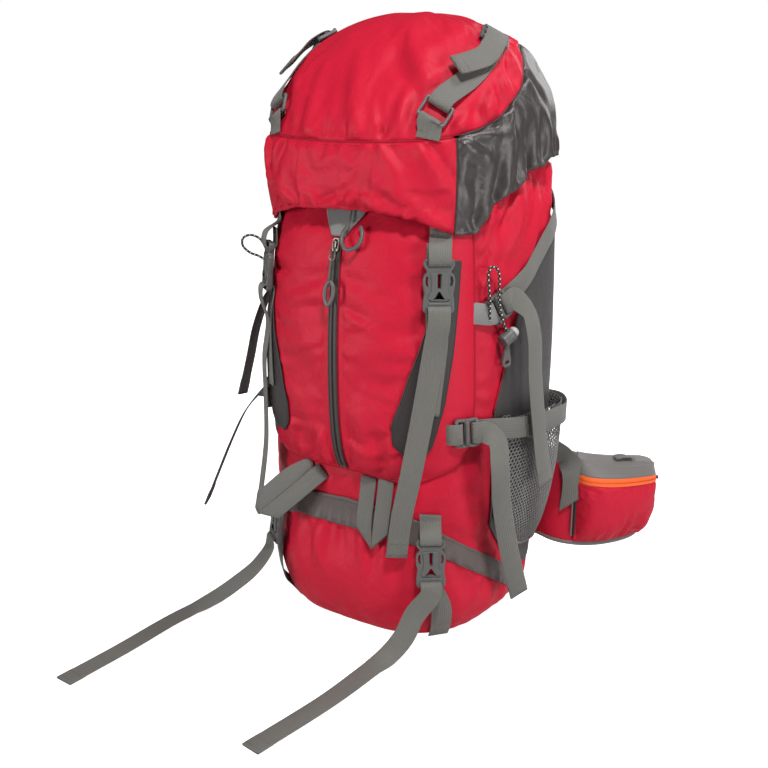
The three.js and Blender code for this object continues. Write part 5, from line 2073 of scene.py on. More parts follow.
@dataclass
class FrontPocket:
    """The front pocket with its zip, its dark gussets and its pulls."""

    zip_low: float = 218.0
    zip_high: float = 486.0
    slider_at: float = 479.0
    upper_pull_at: float = 500.0
    tape: float = 6.2
    cord: float = 2.4
    garage_edges: Table = Table(("z", "half"), ((489, 13), (493, 15.5), (512, 33), (530, 40)))
    slider_ring: tuple = ((-2.6, -4, 7), (-3.2, -10, 7.4), (-3.0, -16, 7), (0, -18.4, 6.8), (3.0, -16, 7),
                          (3.2, -10, 7.4), (2.6, -4, 7))
    lower_cord: tuple = ((-1.2, -16, 6.4), (-2.2, -26, 5.2), (-2.4, -38, 4.4), (0, -46, 4.2))
    lower_grip: tuple = ((0, -40, 4.6), (-4.6, -46, 4.8), (-5.6, -55, 4.6), (-3.2, -64, 4.4), (0, -67, 4.4),
                         (3.2, -64, 4.4), (5.6, -55, 4.6), (4.6, -46, 4.8), (0, -40, 4.6))
    upper_cord: tuple = ((6, 26, 3), (11, 14, 4.8), (13, 2, 5.4), (13, -8, 5.6))
    upper_grip: tuple = ((12.5, -3, 5.6), (9, -12, 5.8), (11, -23, 5.6), (18.5, -29.5, 5.2), (27.5, -28, 4.6),
                         (33, -19, 4.0), (32.4, -9, 4.0), (28, -2, 4.4))

    def build(self) -> None:
        """Makes the pocket and what is on it."""
        self.body()
        for side in Side:
            Gusset(side).build()
        self.zip()
        self.garage()
        self.pulls()

    def body(self) -> None:
        """Makes the bulging red front and its seam."""
        low, high = POCKET_BULGES.column("z")[[0, -1]]
        shares = np.linspace(-1, 1, 65)
        z = np.concatenate([[low, 218, 224], np.arange(232, high, 7.0), [high]])
        u = shares[:, None] * POCKET_BULGES.straight(z, "edge")[None, :]
        heights = np.broadcast_to(z, u.shape)
        held = np.zeros(u.shape)
        held[:2], held[-2:], held[:, :2], held[:, -3:] = 1, 1, 1, 1
        held[np.abs(shares) < 0.12] = 1
        held[(np.abs(u) < 9) & (heights > 480)] = 1
        gusset = (np.abs(u) > GUSSET_EDGES.straight(z, "inner") - 1) & (z > 244) & (z < 474)
        held[gusset | ((np.abs(u) > 34) & (heights > 470))] = 1
        settling = Settling(pressure=0.9, grow=0.02, cap=3.0, frames=14)
        points = pocket_place(u, heights)
        Panel("pocket_cloth", points, held, settling, self.creases(), thick=TRIM).build(RED, "front_pocket")
        rise = np.linspace(232, high, 40)
        foot = POCKET_BULGES.straight(rise, "edge")
        aside = np.concatenate([-foot[::-1], np.linspace(-34, 34, 30), foot])
        seam = np.concatenate([rise[::-1], np.full(30, low + 1), rise])
        kept(tube_piece("pocket_seam", BAG.place(aside, seam, POCKET_SEAT + 0.6), 1.3), THREAD)

    def creases(self) -> list[Fold]:
        """Creases of the pocket.

        Returns:
            Those from the bottom seam, level ones beside the zip and short ones beside the gussets.
        """
        foot = wall_lie(pocket_place(np.linspace(-32, 32, 60), np.full(60, 222.0)))
        found = Puckers(11, 95, 7.5, 4.4, seed=21).folds(foot, (0, 1))
        z = np.linspace(250, 470, 60)
        for side in Side:
            sign = side.value
            middle = wall_lie(pocket_place(np.full(60, sign * 4.0), z))
            found += Puckers(6, 80, 6.5, 2.8, seed=31 + sign, slant=0.5).folds(middle, (sign, 0))
            edge = wall_lie(pocket_place(sign * (GUSSET_EDGES.straight(z, "inner") - 1), z))
            found += Puckers(8, 55, 5.5, 3.0, seed=35 + sign, slant=0.5).folds(edge, (-sign, 0))
        return found

    def zip(self) -> None:
        """Makes the two tapes, their dark edges and the coil between them."""
        lift = GAP + TRIM
        z = np.linspace(self.zip_low, self.zip_high, 80)
        tapes = []
        for label, start, end in (("left", -self.tape, -0.4), ("right", 0.4, self.tape)):
            points = pocket_place(front_bearing(np.linspace(start, end, 4))[:, None], z[None, :], lift)
            tapes.append(thickened(sheet_piece("tape_" + label, points), TRIM, smooth=0))
        kept(joined("zip_tapes", tapes), TAPE, "zip_tape")
        for side in Side:
            heights = np.linspace(self.zip_low, self.zip_high, 70)
            line = pocket_place(front_bearing(side.value * self.tape), heights, lift - 0.3)
            kept(tube_piece(f"zip_edge_{side.label}", line, 0.9), COIL)
        turns = np.arange(self.zip_low + 3, self.zip_high - 8, 0.75)
        x = 1.25 * np.where(np.arange(len(turns)) % 2, 1.0, -1.0)
        kept(tube_piece("zip_coil", pocket_place(front_bearing(x), turns, lift + 0.4), 0.42, 5), COIL)

    def garage(self) -> None:
        """Makes the pale patch over the zip's upper end."""
        low, high = self.garage_edges.column("z")[[0, -1]]
        lift = SEWN_LIFT + TRIM
        z = np.linspace(low, high, 14)
        half = self.garage_edges.straight(z, "half")
        x = np.linspace(-1, 1, 13)[:, None] * half[None, :]
        points = pocket_place(front_bearing(x), z[None, :], lift)
        kept(thickened(sheet_piece("zip_garage", points), TRIM), PALE)
        rim = np.concatenate([-half[::-1], half])
        heights = np.concatenate([z[::-1], z])
        line = pocket_place(front_bearing(rim * 0.9), heights, lift + 0.3)
        row = (line, BAG.normal(front_bearing(rim), heights))
        kept(stitch_piece("garage_stitches", [row], 3.0), THREAD_GREY)

    def local(self, z: float) -> np.ndarray:
        """Frame on the zip at a height: x across, y up and z out."""
        return POCKET.frame(0.0, z, POCKET.point(0.0, z + 30), GAP + TRIM)

    def pulls(self) -> None:
        """Makes the metal slider, its ring and the two cord pulls."""
        place = self.local(self.slider_at)
        body = mirrored([(3.2, -8), (4.6, -6), (4.8, 4), (3.4, 8)])
        parts = [plate_piece("slider_body", [rounded(body, 1.4)], 3.4, 0.8, raised(place, 0.6))]
        bridge = [(0, -5, 4), (0, -4, 6.4), (0, 0, 7.2), (0, 4, 6.4), (0, 5, 4)]
        parts.append(tube_piece("slider_bridge", spline(carried(place, bridge), 1)[0], 1.1))
        parts.append(tube_piece("slider_ring", spline(carried(place, self.slider_ring), 1)[0], 0.9))
        kept(joined("zip_slider", parts), METAL)
        self.pull("zip_pull_low", place, self.lower_cord, self.lower_grip)
        self.pull("zip_pull_high", self.local(self.upper_pull_at), self.upper_cord, self.upper_grip)

    def pull(self, name: str, matrix: np.ndarray, cord: Sequence, grip: Sequence) -> None:
        """Makes a cord pull with a thick grip loop at its end.

        Args:
            name: the piece's name.
            matrix: frame on the zip.
            cord: places of the thin cord.
            grip: places of the grip loop.
        """
        line, _ = spline(carried(matrix, cord), CORD_STEP)
        thin = kept(tube_piece(name + "_cord", line, self.cord / 2), PULL_CORD)
        loop = kept(tube_piece(name + "_grip", spline(carried(matrix, grip), CORD_STEP)[0], 2.3, 10), PLASTIC)
        float(legs(line).sum()) * MM


# Lid
def lid_panel(u: np.ndarray, rows: int) -> tuple[np.ndarray, np.ndarray]:
    """A lid panel from its rim to its seam.

    Args:
        u: bearings of its columns, in degrees.
        rows: number of its rows.

    Returns:
        Its places, and how firmly they are held.
    """
    rim = LID_EDGES.straight(np.abs(u), "rim")
    reach = between(rim, LID_EDGES.straight(np.abs(u), "seam") - LID_SEAM, np.linspace(0, 1, rows))
    return LID.exact(u[:, None], reach), edges_held(reach.shape)


@dataclass
class LidSide(Sided):
    """A dark, gathered side of the lid."""

    columns: int = 110
    rows: int = 22
    pulls: tuple = (
        ((47, 100), (66, 62), 6, 5.5), ((50, 108), (78, 100), 7, 6.0), ((57, 14), (62, 112), 8, 7.0),
        ((66, 38), (74, 140), 8, 8.0), ((77, 52), (82, 160), 8, 7.0), ((70, 136), (64, 60), 6, 6.0),
        ((88, 64), (86, 176), 8, 7.0), ((100, 74), (94, 200), 9, 7.0), ((86, 168), (98, 90), 7, 6.0),
    )

    def build(self) -> None:
        """Makes the panel, pleated upwards from its drawn-in rim."""
        aside = np.linspace(LID_CORNER + 0.2, 179.8, self.columns)
        bearing = np.radians(aside)[:, None]
        points, held = lid_panel(self.sign * aside, self.rows)
        share = np.linspace(0, 1, self.rows)[None, :]
        phase = bearing * 16 + 1.4 * np.sin(bearing * 5) + share * 0.6
        pleat = (np.abs(np.sin(phase / 2)) ** 0.7 - 0.6) * 5.0
        ruche = np.sin(bearing * 62) * 1.4
        inside = smoothstep(aside, 49, 60)[:, None]
        lift = inside * (pleat * bump_at(share, 0.0, 0.62) + ruche * bump_at(share, 0.0, 0.13))
        reach = LID_EDGES.straight(aside, "rim")[:, None] + share * 60
        points = self.faced(points + LID.normal(self.sign * aside[:, None], reach) * lift[..., None])
        settling = Settling(pressure=0.9, grow=0.03, cap=4.0, frames=14, bending=0.2)
        panel = Panel(self.named("lid_side_cloth"), points, self.faced(held), settling, self.creases())
        cut_sheet(panel.build(DARK, self.named("lid_side")), points)

    def creases(self) -> list[Fold]:
        """Deep folds of the panel.

        Returns:
            Those from its corner, down from its seam and up from its rim.
        """
        u = np.linspace(50, 165, 90)
        rim = wall_lie(LID.exact(self.sign * u, LID_EDGES.straight(u, "rim")))
        puckers = Puckers(26, 40, 4.5, 3.0, seed=61, slant=0.5)
        return lid_pulls(wall_lie, self.pulls, self.sign) + puckers.folds(rim, (0, 1))


@dataclass
class Lid:
    """The domed lid: its top, its hood, its gathered sides and its seams."""

    columns: int = 150
    rows: int = 28
    hood_columns: int = 61
    hood_rows: int = 22
    crown_reach: float = 306.0
    strap_path: tuple = ((36, 106), (38, 130), (52, 164), (67, 194), (77, 214), (92, 231))
    top_pulls: tuple = (
        ((45, 108), (22, 250), 11, 9.0), ((-44, 106), (-24, 235), 10, 7.5), ((8, 101), (-4, 215), 9, 5.0),
        ((-14, 101), (-24, 200), 8, 5.0), ((58, 118), (66, 235), 8, 7.5), ((22, 102), (33, 170), 7, 6.0),
        ((82, 160), (78, 260), 8, 6.5), ((-62, 124), (-64, 230), 8, 6.5), ((-90, 180), (-70, 268), 9, 6.0),
        ((70, 140), (58, 230), 7, 5.0), ((-30, 103), (-38, 180), 7, 5.0),
    )
    hood_pulls: tuple = (
        ((43, 10), (10, 78), 7, 8.0), ((37, 18), (-4, 52), 5.5, 6.0), ((-41, 98), (-35, 24), 5.5, 7.0),
        ((-29, 99), (-37, 36), 5, 5.6), ((31, 101), (42, 44), 6, 7.0), ((18, 101), (27, 52), 5.5, 5.0),
        ((-18, 30), (-40, 70), 6, 5.4), ((-6, 30), (14, 46), 5, 4.4), ((30, 24), (12, 40), 4.5, 4.6),
    )

    def build(self) -> None:
        """Makes the lid's panels and seams."""
        self.top()
        self.hood()
        for side in Side:
            LidSide(side).build()
        self.seams()

    def top(self) -> None:
        """Makes the red top, puckered along its seam."""
        u = np.linspace(-180, 180, self.columns, endpoint=False)
        start = LID_EDGES.straight(np.abs(u), "seam") + LID_SEAM
        share = np.linspace(0, 1, self.rows)
        reach = between(start, self.crown_reach, share)
        points = LID.exact(u[:, None], reach)
        held = np.maximum(self.under_straps(points), (share == 0)[None, :])
        swell = wander(points, 60, 7.7) * 2.6 * (1 - held)
        points = points + LID.normal(u[:, None], reach) * swell[..., None]
        settling = Settling(pressure=1.0, grow=0.035, cap=5.0, frames=16, bending=0.2)
        rim = range(self.rows - 1, self.columns * self.rows, self.rows)
        Panel("lid_top_cloth", points, held, settling, self.top_creases(), crown_lie, ring=True, rim=rim,
              rise=0.6 * MM).build(RED, "lid_top")

    def top_creases(self) -> list[Fold]:
        """Creases of the top.

        Returns:
            Long pulls from the lid's corners to its crown, and short puckers along its seam.
        """
        u = np.linspace(-165, 165, 200)
        seam = crown_lie(LID.exact(u, LID_EDGES.straight(np.abs(u), "seam")))
        puckers = Puckers(44, 48, 4.4, 3.4, seed=41, slant=0.6)
        return lid_pulls(crown_lie, self.top_pulls) + puckers.folds(seam, (0, 1))

    def under_straps(self, points: np.ndarray) -> np.ndarray:
        """Where the lid lies under its straps and rings.

        Args:
            points: places on the lid.

        Returns:
            1 under a strap and 0 away from it.
        """
        near = np.zeros(points.shape[:2])
        for side in Side:
            line = np.array([LID.exact(side.value * u, reach) for u, reach in self.strap_path])
            near = np.maximum(near, near_path(points, line, 27.0))
        return near

    def hood(self) -> None:
        """Makes the red front flap of the lid and its stitches."""
        u = np.linspace(-LID_CORNER, LID_CORNER, self.hood_columns)
        points, firm = lid_panel(u, self.hood_rows)
        held = firm.copy()
        held[3:-3, 0] = 0
        settling = Settling(pressure=0.6, grow=0.025, cap=4.0, frames=14)
        panel = Panel("lid_front_cloth", points, held, settling, self.hood_creases(), firm=firm)
        cut_sheet(panel.build(RED, "lid_front"), points)
        lines = []
        for edge, inset in (("rim", 5), ("seam", -4)):
            reach = LID_EDGES.straight(np.abs(u), edge) + inset
            lines.append((LID.place(u, reach, 0.5), LID.normal(u, reach)))
        kept(stitch_piece("lid_front_stitches", lines), THREAD)

    def hood_creases(self) -> list[Fold]:
        """Creases of the front flap.

        Returns:
            Slanting pulls, and short puckers along its edges.
        """
        u = np.linspace(-42, 42, 80)
        rim, seam = (wall_lie(LID.exact(u, LID_EDGES.straight(np.abs(u), name))) for name in ("rim", "seam"))
        found = lid_pulls(wall_lie, self.hood_pulls)
        found += Puckers(13, 32, 4.4, 3.2, seed=51, slant=0.7).folds(rim, (0, 1))
        return found + Puckers(14, 26, 5, 2.2, seed=52, slant=0.7).folds(seam, (0, -1))

    def seams(self) -> None:
        """Makes the narrow welts between the lid's panels."""
        u = np.linspace(-180, 180, 181)
        line = LID.place(u, LID_EDGES.straight(np.abs(u), "seam"), -0.6)
        kept(tube_piece("lid_seam_front", line[np.abs(u) <= LID_CORNER], 1.3), THREAD)
        for side in Side:
            part = line[(u * side.value) >= LID_CORNER - 0.1]
            kept(tube_piece(f"lid_seam_{side.label}", part, 1.2), COIL)
            corner = LID.place(np.full(30, side.value * (LID_CORNER + 0.1)), np.linspace(4, 105, 30), -0.4)
            kept(tube_piece(f"lid_corner_{side.label}", corner, 1.2), COIL)


# Straps
@dataclass
class LidStrap(Sided):
    """A strap that holds the lid down, with an anchor, a buckle and a tail."""

    bearing: float = 41.0
    z: float = 443.0
    tails: dict = field(default_factory=lambda: {
        Side.RIGHT: [(96, -166, 226), (88, -170, 180), (79, -167, 126)],
        Side.LEFT: [(-118, -147, 380), (-127, -146, 330), (-126, -147, 280), (-123, -152, 225),
                    (-126, -160, 172), (-130, -166, 134)],
    })

    def build(self) -> None:
        """Makes the strap."""
        u, slot = self.sign * self.bearing, BUCKLE.slot_at
        matrix = POCKET.frame(u, self.z, POCKET.point(u, self.z + BUCKLE.length), SEWN_LIFT + TRIM)
        inside = -CLOTH - WEB_LIFT - 1.8
        anchor = Route().laid(LID, [(40.5, 30), (40.5, 14), (40.5, 3, 1.5)], inside, self.sign)
        anchor.threaded(matrix, [(40, BUCKLE.top), (slot, BUCKLE.top), (slot, WEB_LIFT),
                                 (slot + 22, WEB_LIFT)])
        kept(web_piece(self.named("lid_anchor_web"), anchor), WEB, self.named("lid_strap_anchor"))
        BUCKLE.fitted(self.named("lid_buckle"), matrix)
        tail = Route().laid(POCKET, [(37.5, 300), (39, 340), (40.5, 385)], TRIM_LIFT + GAP, self.sign)
        tail.threaded(matrix, [(-slot, WEB_LIFT), (-slot, BUCKLE.top), (-slot - 16, BUCKLE.top)])
        if self.side is Side.RIGHT:
            tail.laid(POCKET, [(39.5, 375, 5), (37.5, 330, 3), (34.5, 275, 3)], TRIM_LIFT)
        tail.hanging(self.tails[self.side], roundwards(u))
        tail_piece(self.named("lid_strap_web"), tail, WEB, self.named("lid_strap"), 22)


@dataclass
class BottomStrap(Sided):
    """A strap round the bottom compartment, with a long tail on the floor."""

    bearing: float = 38.0
    z: float = 118.0
    lift: float = 6.0
    tails: dict = field(default_factory=lambda: {
        Side.RIGHT: [(104, -165, 58), (95, -177, 30), (83, -192, 10), (76, -214, 3.4), (70, -290, 2.0),
                     (53, -405, 2.0)],
        Side.LEFT: [(-119, -185, 68), (-143, -203, 42), (-172, -210, 18), (-191, -226, 5), (-198, -262, 2.4),
                    (-200, -340, 2.0), (-205, -426, 2.0)],
    })

    def build(self) -> None:
        """Makes the strap."""
        u, slot = self.sign * self.bearing, BUCKLE.slot_at
        matrix = BAG.frame(u, self.z, BAG.point(u, self.z + BUCKLE.length, self.lift), self.lift)
        anchor = Route().laid(BAG, [(38, 176), (38, 166)], TRIM_LIFT, self.sign)
        anchor.threaded(matrix, [(slot + 12, BUCKLE.top), (slot, BUCKLE.top), (slot, WEB_LIFT),
                                 (slot + 14, WEB_LIFT)])
        kept(web_piece(self.named("bottom_anchor_web"), anchor), WEB, self.named("bottom_strap_anchor"))
        BUCKLE.fitted(self.named("bottom_buckle"), matrix)
        tail = Route().laid(BAG, [(43, 9), (43, 22, 1), (42.5, 36, 3.5), (42, 60, 5)], WEB_LIFT + 2 * GAP,
                            self.sign)
        tail.threaded(matrix, [(-slot - 6, WEB_LIFT - 1), (-slot, WEB_LIFT), (-slot, BUCKLE.top),
                               (-slot - 12, BUCKLE.top + GAP)])
        tail.hanging(self.tails[self.side], roundwards(self.sign * 20))
        tail_piece(self.named("bottom_strap_web"), tail, WEB, self.named("bottom_strap"), twist=0.0)


@dataclass
class SideStrap(Sided):
    """A compression strap that turns round a ladder lock and hangs down."""

    def strap(self, name: str, matrix: np.ndarray, route: Route, tail: Sequence, way: float) -> None:
        """Makes the ladder lock and the strap; on the left side the grey webbing gets a darker colour as
        painted shade.

        Args:
            name: first word of the pieces' names.
            matrix: frame of the ladder lock.
            route: stops of the strap before its lock.
            tail: stops of its hanging tail.
            way: bearing that the tail faces.
        """
        LOCK.fitted(self.named(name + "_ladder"), matrix)
        bar, end = LOCK.window_at, LOCK.length / 2
        route.threaded(matrix, [(end + 8, WEB_LIFT), (bar + 1, WEB_LIFT), (bar - 0.5, LOCK.top - 2),
                                (end - 1, LOCK.top + 0.4), (end + 5, LOCK.top)])
        route.hanging(tail, roundwards(self.sign * way))
        # The left side takes the darker copy of the grey webbing: painted shade, not a different webbing
        finish = WEB if self.side is Side.RIGHT else WEB_PAINTED_SHADE
        tail_piece(self.named(name + "_strap_web"), route, finish, self.named(name + "_strap"))


@dataclass
class UpperStrap(SideStrap):
    """An upper side strap with its ladder lock, its elastic cord and its cord lock."""

    bearing: float = 64.0
    z: float = 414.0
    start: tuple[float, float] = (130.0, 534.0)
    end: tuple[float, float] = (82.0, 443.0)
    tails: dict = field(default_factory=lambda: {
        Side.RIGHT: [(176, -43, 407), (186, -46, 380), (189, -46, 335), (195, -40, 268), (201, -30, 198)],
        Side.LEFT: [(-178, -40, 409), (-197, -48, 386), (-207, -62, 345), (-210, -74, 305), (-217, -86, 254)],
    })
    cords: dict = field(default_factory=lambda: {
        Side.RIGHT: [(-19, -4, 7), (-15, 8, 10), (-9, 22, 12), (-3, 36, 12), (2, 46, 12), (9, 50, 13),
                     (14, 44, 14), (11, 34, 14.5), (4, 22, 14.5), (-3, 8, 14.5), (-7, -6, 14.5),
                     (-9, -24.2, 13)],
        Side.LEFT: [(-19, -4, 7), (-15.6, 10, 9.8), (-14, 26, 12), (-11, 38, 17), (-9, 43, 26), (-8, 46, 36),
                    (-8, 56, 44), (-8, 68, 42), (-8, 74, 32), (-8, 70, 21), (-8, 57, 15.5), (-8, 40, 14.5),
                    (-8, 22, 14.5), (-8, 4, 14.5), (-9, -10, 14), (-9, -24.2, 13)],
    })
    cord_width: float = 3.0
    lock_at: tuple[float, float, float] = (-20.0, -32.6, 13.0)
    barrel: tuple = ((0, 0), (6.2, 0), (7.4, 0.5), (8, 1.8), (7.7, 4), (7.7, 12), (8, 14), (8, 16.4),
                     (7.4, 17), (6.5, 17), (6.4, 16), (6.4, 3), (0, 3))
    button: tuple = ((0, 7.5), (5.9, 7.5), (6, 20), (5.7, 21.6), (4.8, 23.1), (3.2, 24.1), (1.4, 24.45),
                     (0, 24.5))

    def matrix(self) -> np.ndarray:
        """Frame of the ladder lock."""
        return BAG.frame(self.sign * self.bearing, self.z, BAG.point(self.sign * 85, 446))

    def local(self, places: Sequence) -> np.ndarray:
        """Places along, across and out from the ladder lock, in its frame."""
        return np.array([(-self.sign * across, along, out) for along, across, out in places])

    def cord(self) -> None:
        """Makes the elastic cord with its lock, its button and the clip on its end."""
        matrix = self.matrix()
        line, _ = spline(carried(matrix, self.local(self.cords[self.side])), CORD_STEP)
        piece = tube_piece(self.named("elastic_cord"), line, self.cord_width / 2, 10)
        kept(piece, CORD, self.named("bungee_cord"))
        seat = np.eye(4)
        seat[:3, 3] = self.local([self.lock_at])[0]
        place = matrix @ seat
        lock = turned(self.named("cord_lock") + "_moulded", self.barrel, place)
        kept(lock, PLASTIC, self.named("cord_lock"))
        button = turned(self.named("cord_button"), self.button, place)
        kept(button, BUTTON, self.named("cord_lock_button"), body=self.named("button"))
        path = [list(point * MM) for point in line[::2]] + [list(line[-1] * MM)]
        float(legs(line).sum()) * MM
        self.clip(place)
        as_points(path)

    def clip(self, barrel: np.ndarray) -> bpy.types.Object:
        """Makes the flat end clip that hangs from the cord lock.

        Args:
            barrel: frame of the cord lock.

        Returns:
            The piece.
        """
        out = unit(barrel[:3, 2] * (1, 1, 0))
        place = np.eye(4)
        place[:3, :3] = np.stack([np.cross(UP, out), UP, out], axis=1)
        place[:3, 3] = carried(barrel, (0, 8, 0)) - UP * 8.6 - out * 2.2
        outline = rounded(mirrored([(3.4, 1), (4.0, -6), (6.4, -18), (6.0, -23), (3.6, -25)]), 1.6)
        hole = box_loop(3.0, -21.4, -17.4, 1.8)
        return kept(plate_piece(self.named("cord_clip"), [outline, hole], 4.4, 1.2, place), PLASTIC)

    def build(self) -> None:
        """Makes the strap with its ladder lock, and the fabric tab that holds the lock to the bag."""
        matrix = self.matrix()
        places = np.array(self.start) + np.subtract(self.end, self.start) * np.linspace(0, 1, 7)[:, None]
        route = Route().laid(BAG, places, TRIM_LIFT + 1.5, self.sign)
        self.strap("upper", matrix, route, self.tails[self.side], 78)
        bar = -LOCK.window_at
        tab = Route().threaded(matrix, [(bar, 1.0), (bar, LOCK.top - 3), (-12, LOCK.top - 0.6)])
        tab.laid(BAG, [(56.5, 409, 3.4), (53, 411, 1.6), (50.6, 413, 0.6)], WEB_LIFT + 1.0, self.sign)
        kept(web_piece(self.named("upper_tab"), tab, 24, 2.2), PALE)


@dataclass
class LowerStrap(SideStrap):
    """A lower side strap, which hems a net pocket."""

    bearing: float = 50.0
    z: float = 277.0
    lift: float = 10.0
    hem: tuple = ((128, 257, 9), (120, 260, 15.5), (108, 263, 20.5), (96, 266, 21.5), (84, 269, 19.5),
                  (73, 272, 15))
    tails: dict = field(default_factory=lambda: {
        Side.RIGHT: [(172, -104, 270), (181, -112, 243), (182, -107, 200), (184, -88, 135), (186, -58, 61)],
        Side.LEFT: [(-176, -93, 268), (-194, -104, 242), (-209, -116, 205), (-226, -126, 160),
                    (-248, -131, 108)],
    })

    def build(self) -> None:
        """Makes the strap with its ladder lock, and the tab that holds the lock to the bag."""
        behind = BAG.point(self.sign * 66, 279, self.lift)
        matrix = BAG.frame(self.sign * self.bearing, self.z, behind, self.lift)
        route = Route().laid(BAG, self.hem, TRIM_LIFT + SEWN_LIFT + TRIM + GAP, self.sign)
        self.strap("lower", matrix, route, self.tails[self.side], 62)
        bar = -LOCK.window_at
        tab = Route().threaded(matrix, [(bar, 1.0), (bar, LOCK.top), (-18, LOCK.top - 2)])
        tab.laid(BAG, [(41, 274, 4), (38.5, 272, 3.2)], WEB_LIFT + 3, self.sign)
        kept(web_piece(self.named("lower_tab"), tab, 24, 1.8), WEB)


@dataclass
class ToolLoop(Sided):
    """A webbing loop that hangs from the pocket's bottom seam, folded to a point at the tip."""

    width: float = 21.0
    plies: dict = field(default_factory=lambda: {
        Side.RIGHT: (
            ([(31.0, -151.8, 211), (31.0, -157, 185), (31.4, -163, 160), (32.4, -165, 138)], -1.15),
            ([(55.0, -151.6, 211), (55.0, -157, 185), (55.0, -163, 160), (54.4, -165.4, 138)], 1.15),
        ),
        Side.LEFT: (
            ([(-35, -152.2, 205), (-55, -172, 183), (-80, -182, 158), (-96, -186, 143)], 1.0),
            ([(-50, -152.2, 209), (-69, -171, 198), (-95, -181.6, 173), (-110, -185.6, 158)], -1.0),
        ),
    })

    def build(self) -> None:
        """Makes the loop of two plies that meet at the tip."""
        strips = []
        for number, (places, mitre) in enumerate(self.plies[self.side]):
            points = np.array(places, float)
            route = Route()
            for place, way in zip(points, directions(points)):
                route.hanging([place], np.cross(way, (0, -1, 0)))
            strips.append(web_piece(self.named(f"tool_ply_{number}"), route, self.width, mitre=mitre))
        kept(joined(self.named("tool_loop_web"), strips), WEB, self.named("tool_loop"))


@dataclass
class LidTopStrap(Sided):
    """A strap on the lid, from its ring to a ladder lock and back."""

    ring_at: tuple[float, float] = (38.0, 130.0)
    lock_at: tuple[float, float] = (77.0, 214.0)
    ahead: tuple[float, float] = (100.0, 240.0)
    seam_at: float = 35.0

    def build(self) -> None:
        """Makes the strap with its ring, its lock and its tab."""
        ring, lock, ahead = ((self.sign * u, reach) for u, reach in (self.ring_at, self.lock_at, self.ahead))
        ring_frame = LID.frame(*ring, LID.point(*lock))
        lock_frame = LID.frame(*lock, LID.point(*ahead))
        turn = RING.length / 2 - RING.bar - 2
        before, bar = -LOCK.length / 2 - 4, LOCK.window_at
        route = Route().threaded(ring_frame, [(turn, WEB_LIFT), (turn, RING.top), (turn + 9, RING.top)])
        route.laid(LID, [(52, 164, 1), (60, 180, 0), (67, 194, 0)], WEB_LIFT, self.sign)
        route.threaded(lock_frame, [(before, WEB_LIFT), (bar, WEB_LIFT), (bar, LOCK.top),
                                    (before - 2, LOCK.top + 1)])
        route.laid(LID, [(62, 186, 1), (54, 178, 2), (47, 171, 5)], LOCK.top - 1, self.sign)
        RING.fitted(self.named("lid_ring"), ring_frame)
        LOCK.fitted(self.named("lid_top_ladder"), lock_frame, self.named("lid_ladder"))
        tail_piece(self.named("lid_top_web"), route, WEB, self.named("lid_top_strap"), 14, 0.0)
        self.tab(ring_frame)

    def tab(self, matrix: np.ndarray) -> None:
        """Makes the folded tab that holds the ring to the lid's front seam.

        Args:
            matrix: frame of the ring.
        """
        low = -RING.length / 2 + RING.bar / 2
        route = Route().threaded(matrix, [(low - 2, 1.4), (low + 2.4, 2.2), (low + 3.0, 5.4),
                                          (low + 1, RING.top - 0.4), (low - 3, RING.top - 0.6)])
        seam = LID_EDGES.straight(self.seam_at, "seam")
        stops = [(35.8, seam + 9, 2.4), (35.2, seam + 3, 1.0), (self.seam_at, seam + 0.5, 0.4)]
        kept(web_piece(self.named("lid_ring_tab"), route.laid(LID, stops, WEB_LIFT, self.sign)), WEB)


# Harness
@dataclass
class ShoulderStrap(Sided):
    """A padded shoulder strap that narrows to webbing."""

    stops: Table = Table(("x", "y", "z", "width", "thick"), (
        (52, 114.6, 532, 62, 7), (58, 152, 505, 64, 8), (66, 168, 450, 62, 8), (74, 166, 380, 56, 8),
        (82, 152, 310, 52, 8), (90, 136, 262, 44, 7), (96, 125, 234, 26, 3), (103, 115, 215, 25, 2.5),
        (108, 109.2, 202, 25, 2.5),
    ))
    corners: int = 28

    def build(self) -> None:
        """Makes the strap, with a line of stitches inside each edge."""
        stops = np.array(self.stops.rows, float)
        line, where = spline(stops[:, :3] * (self.sign, 1, 1), 5.0)
        width, thick = (np.interp(where, np.arange(len(stops)), stops[:, k])[:, None] for k in (3, 4))
        ahead = directions(line)
        across = unit(np.array([1.0, 0, 0]) - ahead * ahead[:, :1])
        out = np.cross(across, ahead)
        angles = np.linspace(0, 2 * np.pi, self.corners, endpoint=False)
        wide, high = (np.sign(wave) * np.abs(wave) ** power
                      for wave, power in ((np.cos(angles), 0.45), (np.sin(angles), 0.8)))
        rings = (line[:, None] + across[:, None] * (wide * width)[..., None] / 2
                 + out[:, None] * (high * thick)[..., None] / 2)
        lay = lie_of(np.transpose(rings, (1, 0, 2))).transpose(1, 0, 2)[..., ::-1]
        piece = new_piece(self.named("shoulder_pad"), rings, tube_faces(len(line), self.corners), lay)
        kept(facing_out(piece), PADDING, self.named("shoulder_strap"))
        rows = []
        for edge in (-0.4, 0.4):
            for face in (-1, 1):
                rise = out * (face * thick / 2 * 0.98)
                rows.append((line + across * (edge * width) + rise, out * face))
        kept(stitch_piece(self.named("shoulder_stitches"), rows), THREAD_GREY)


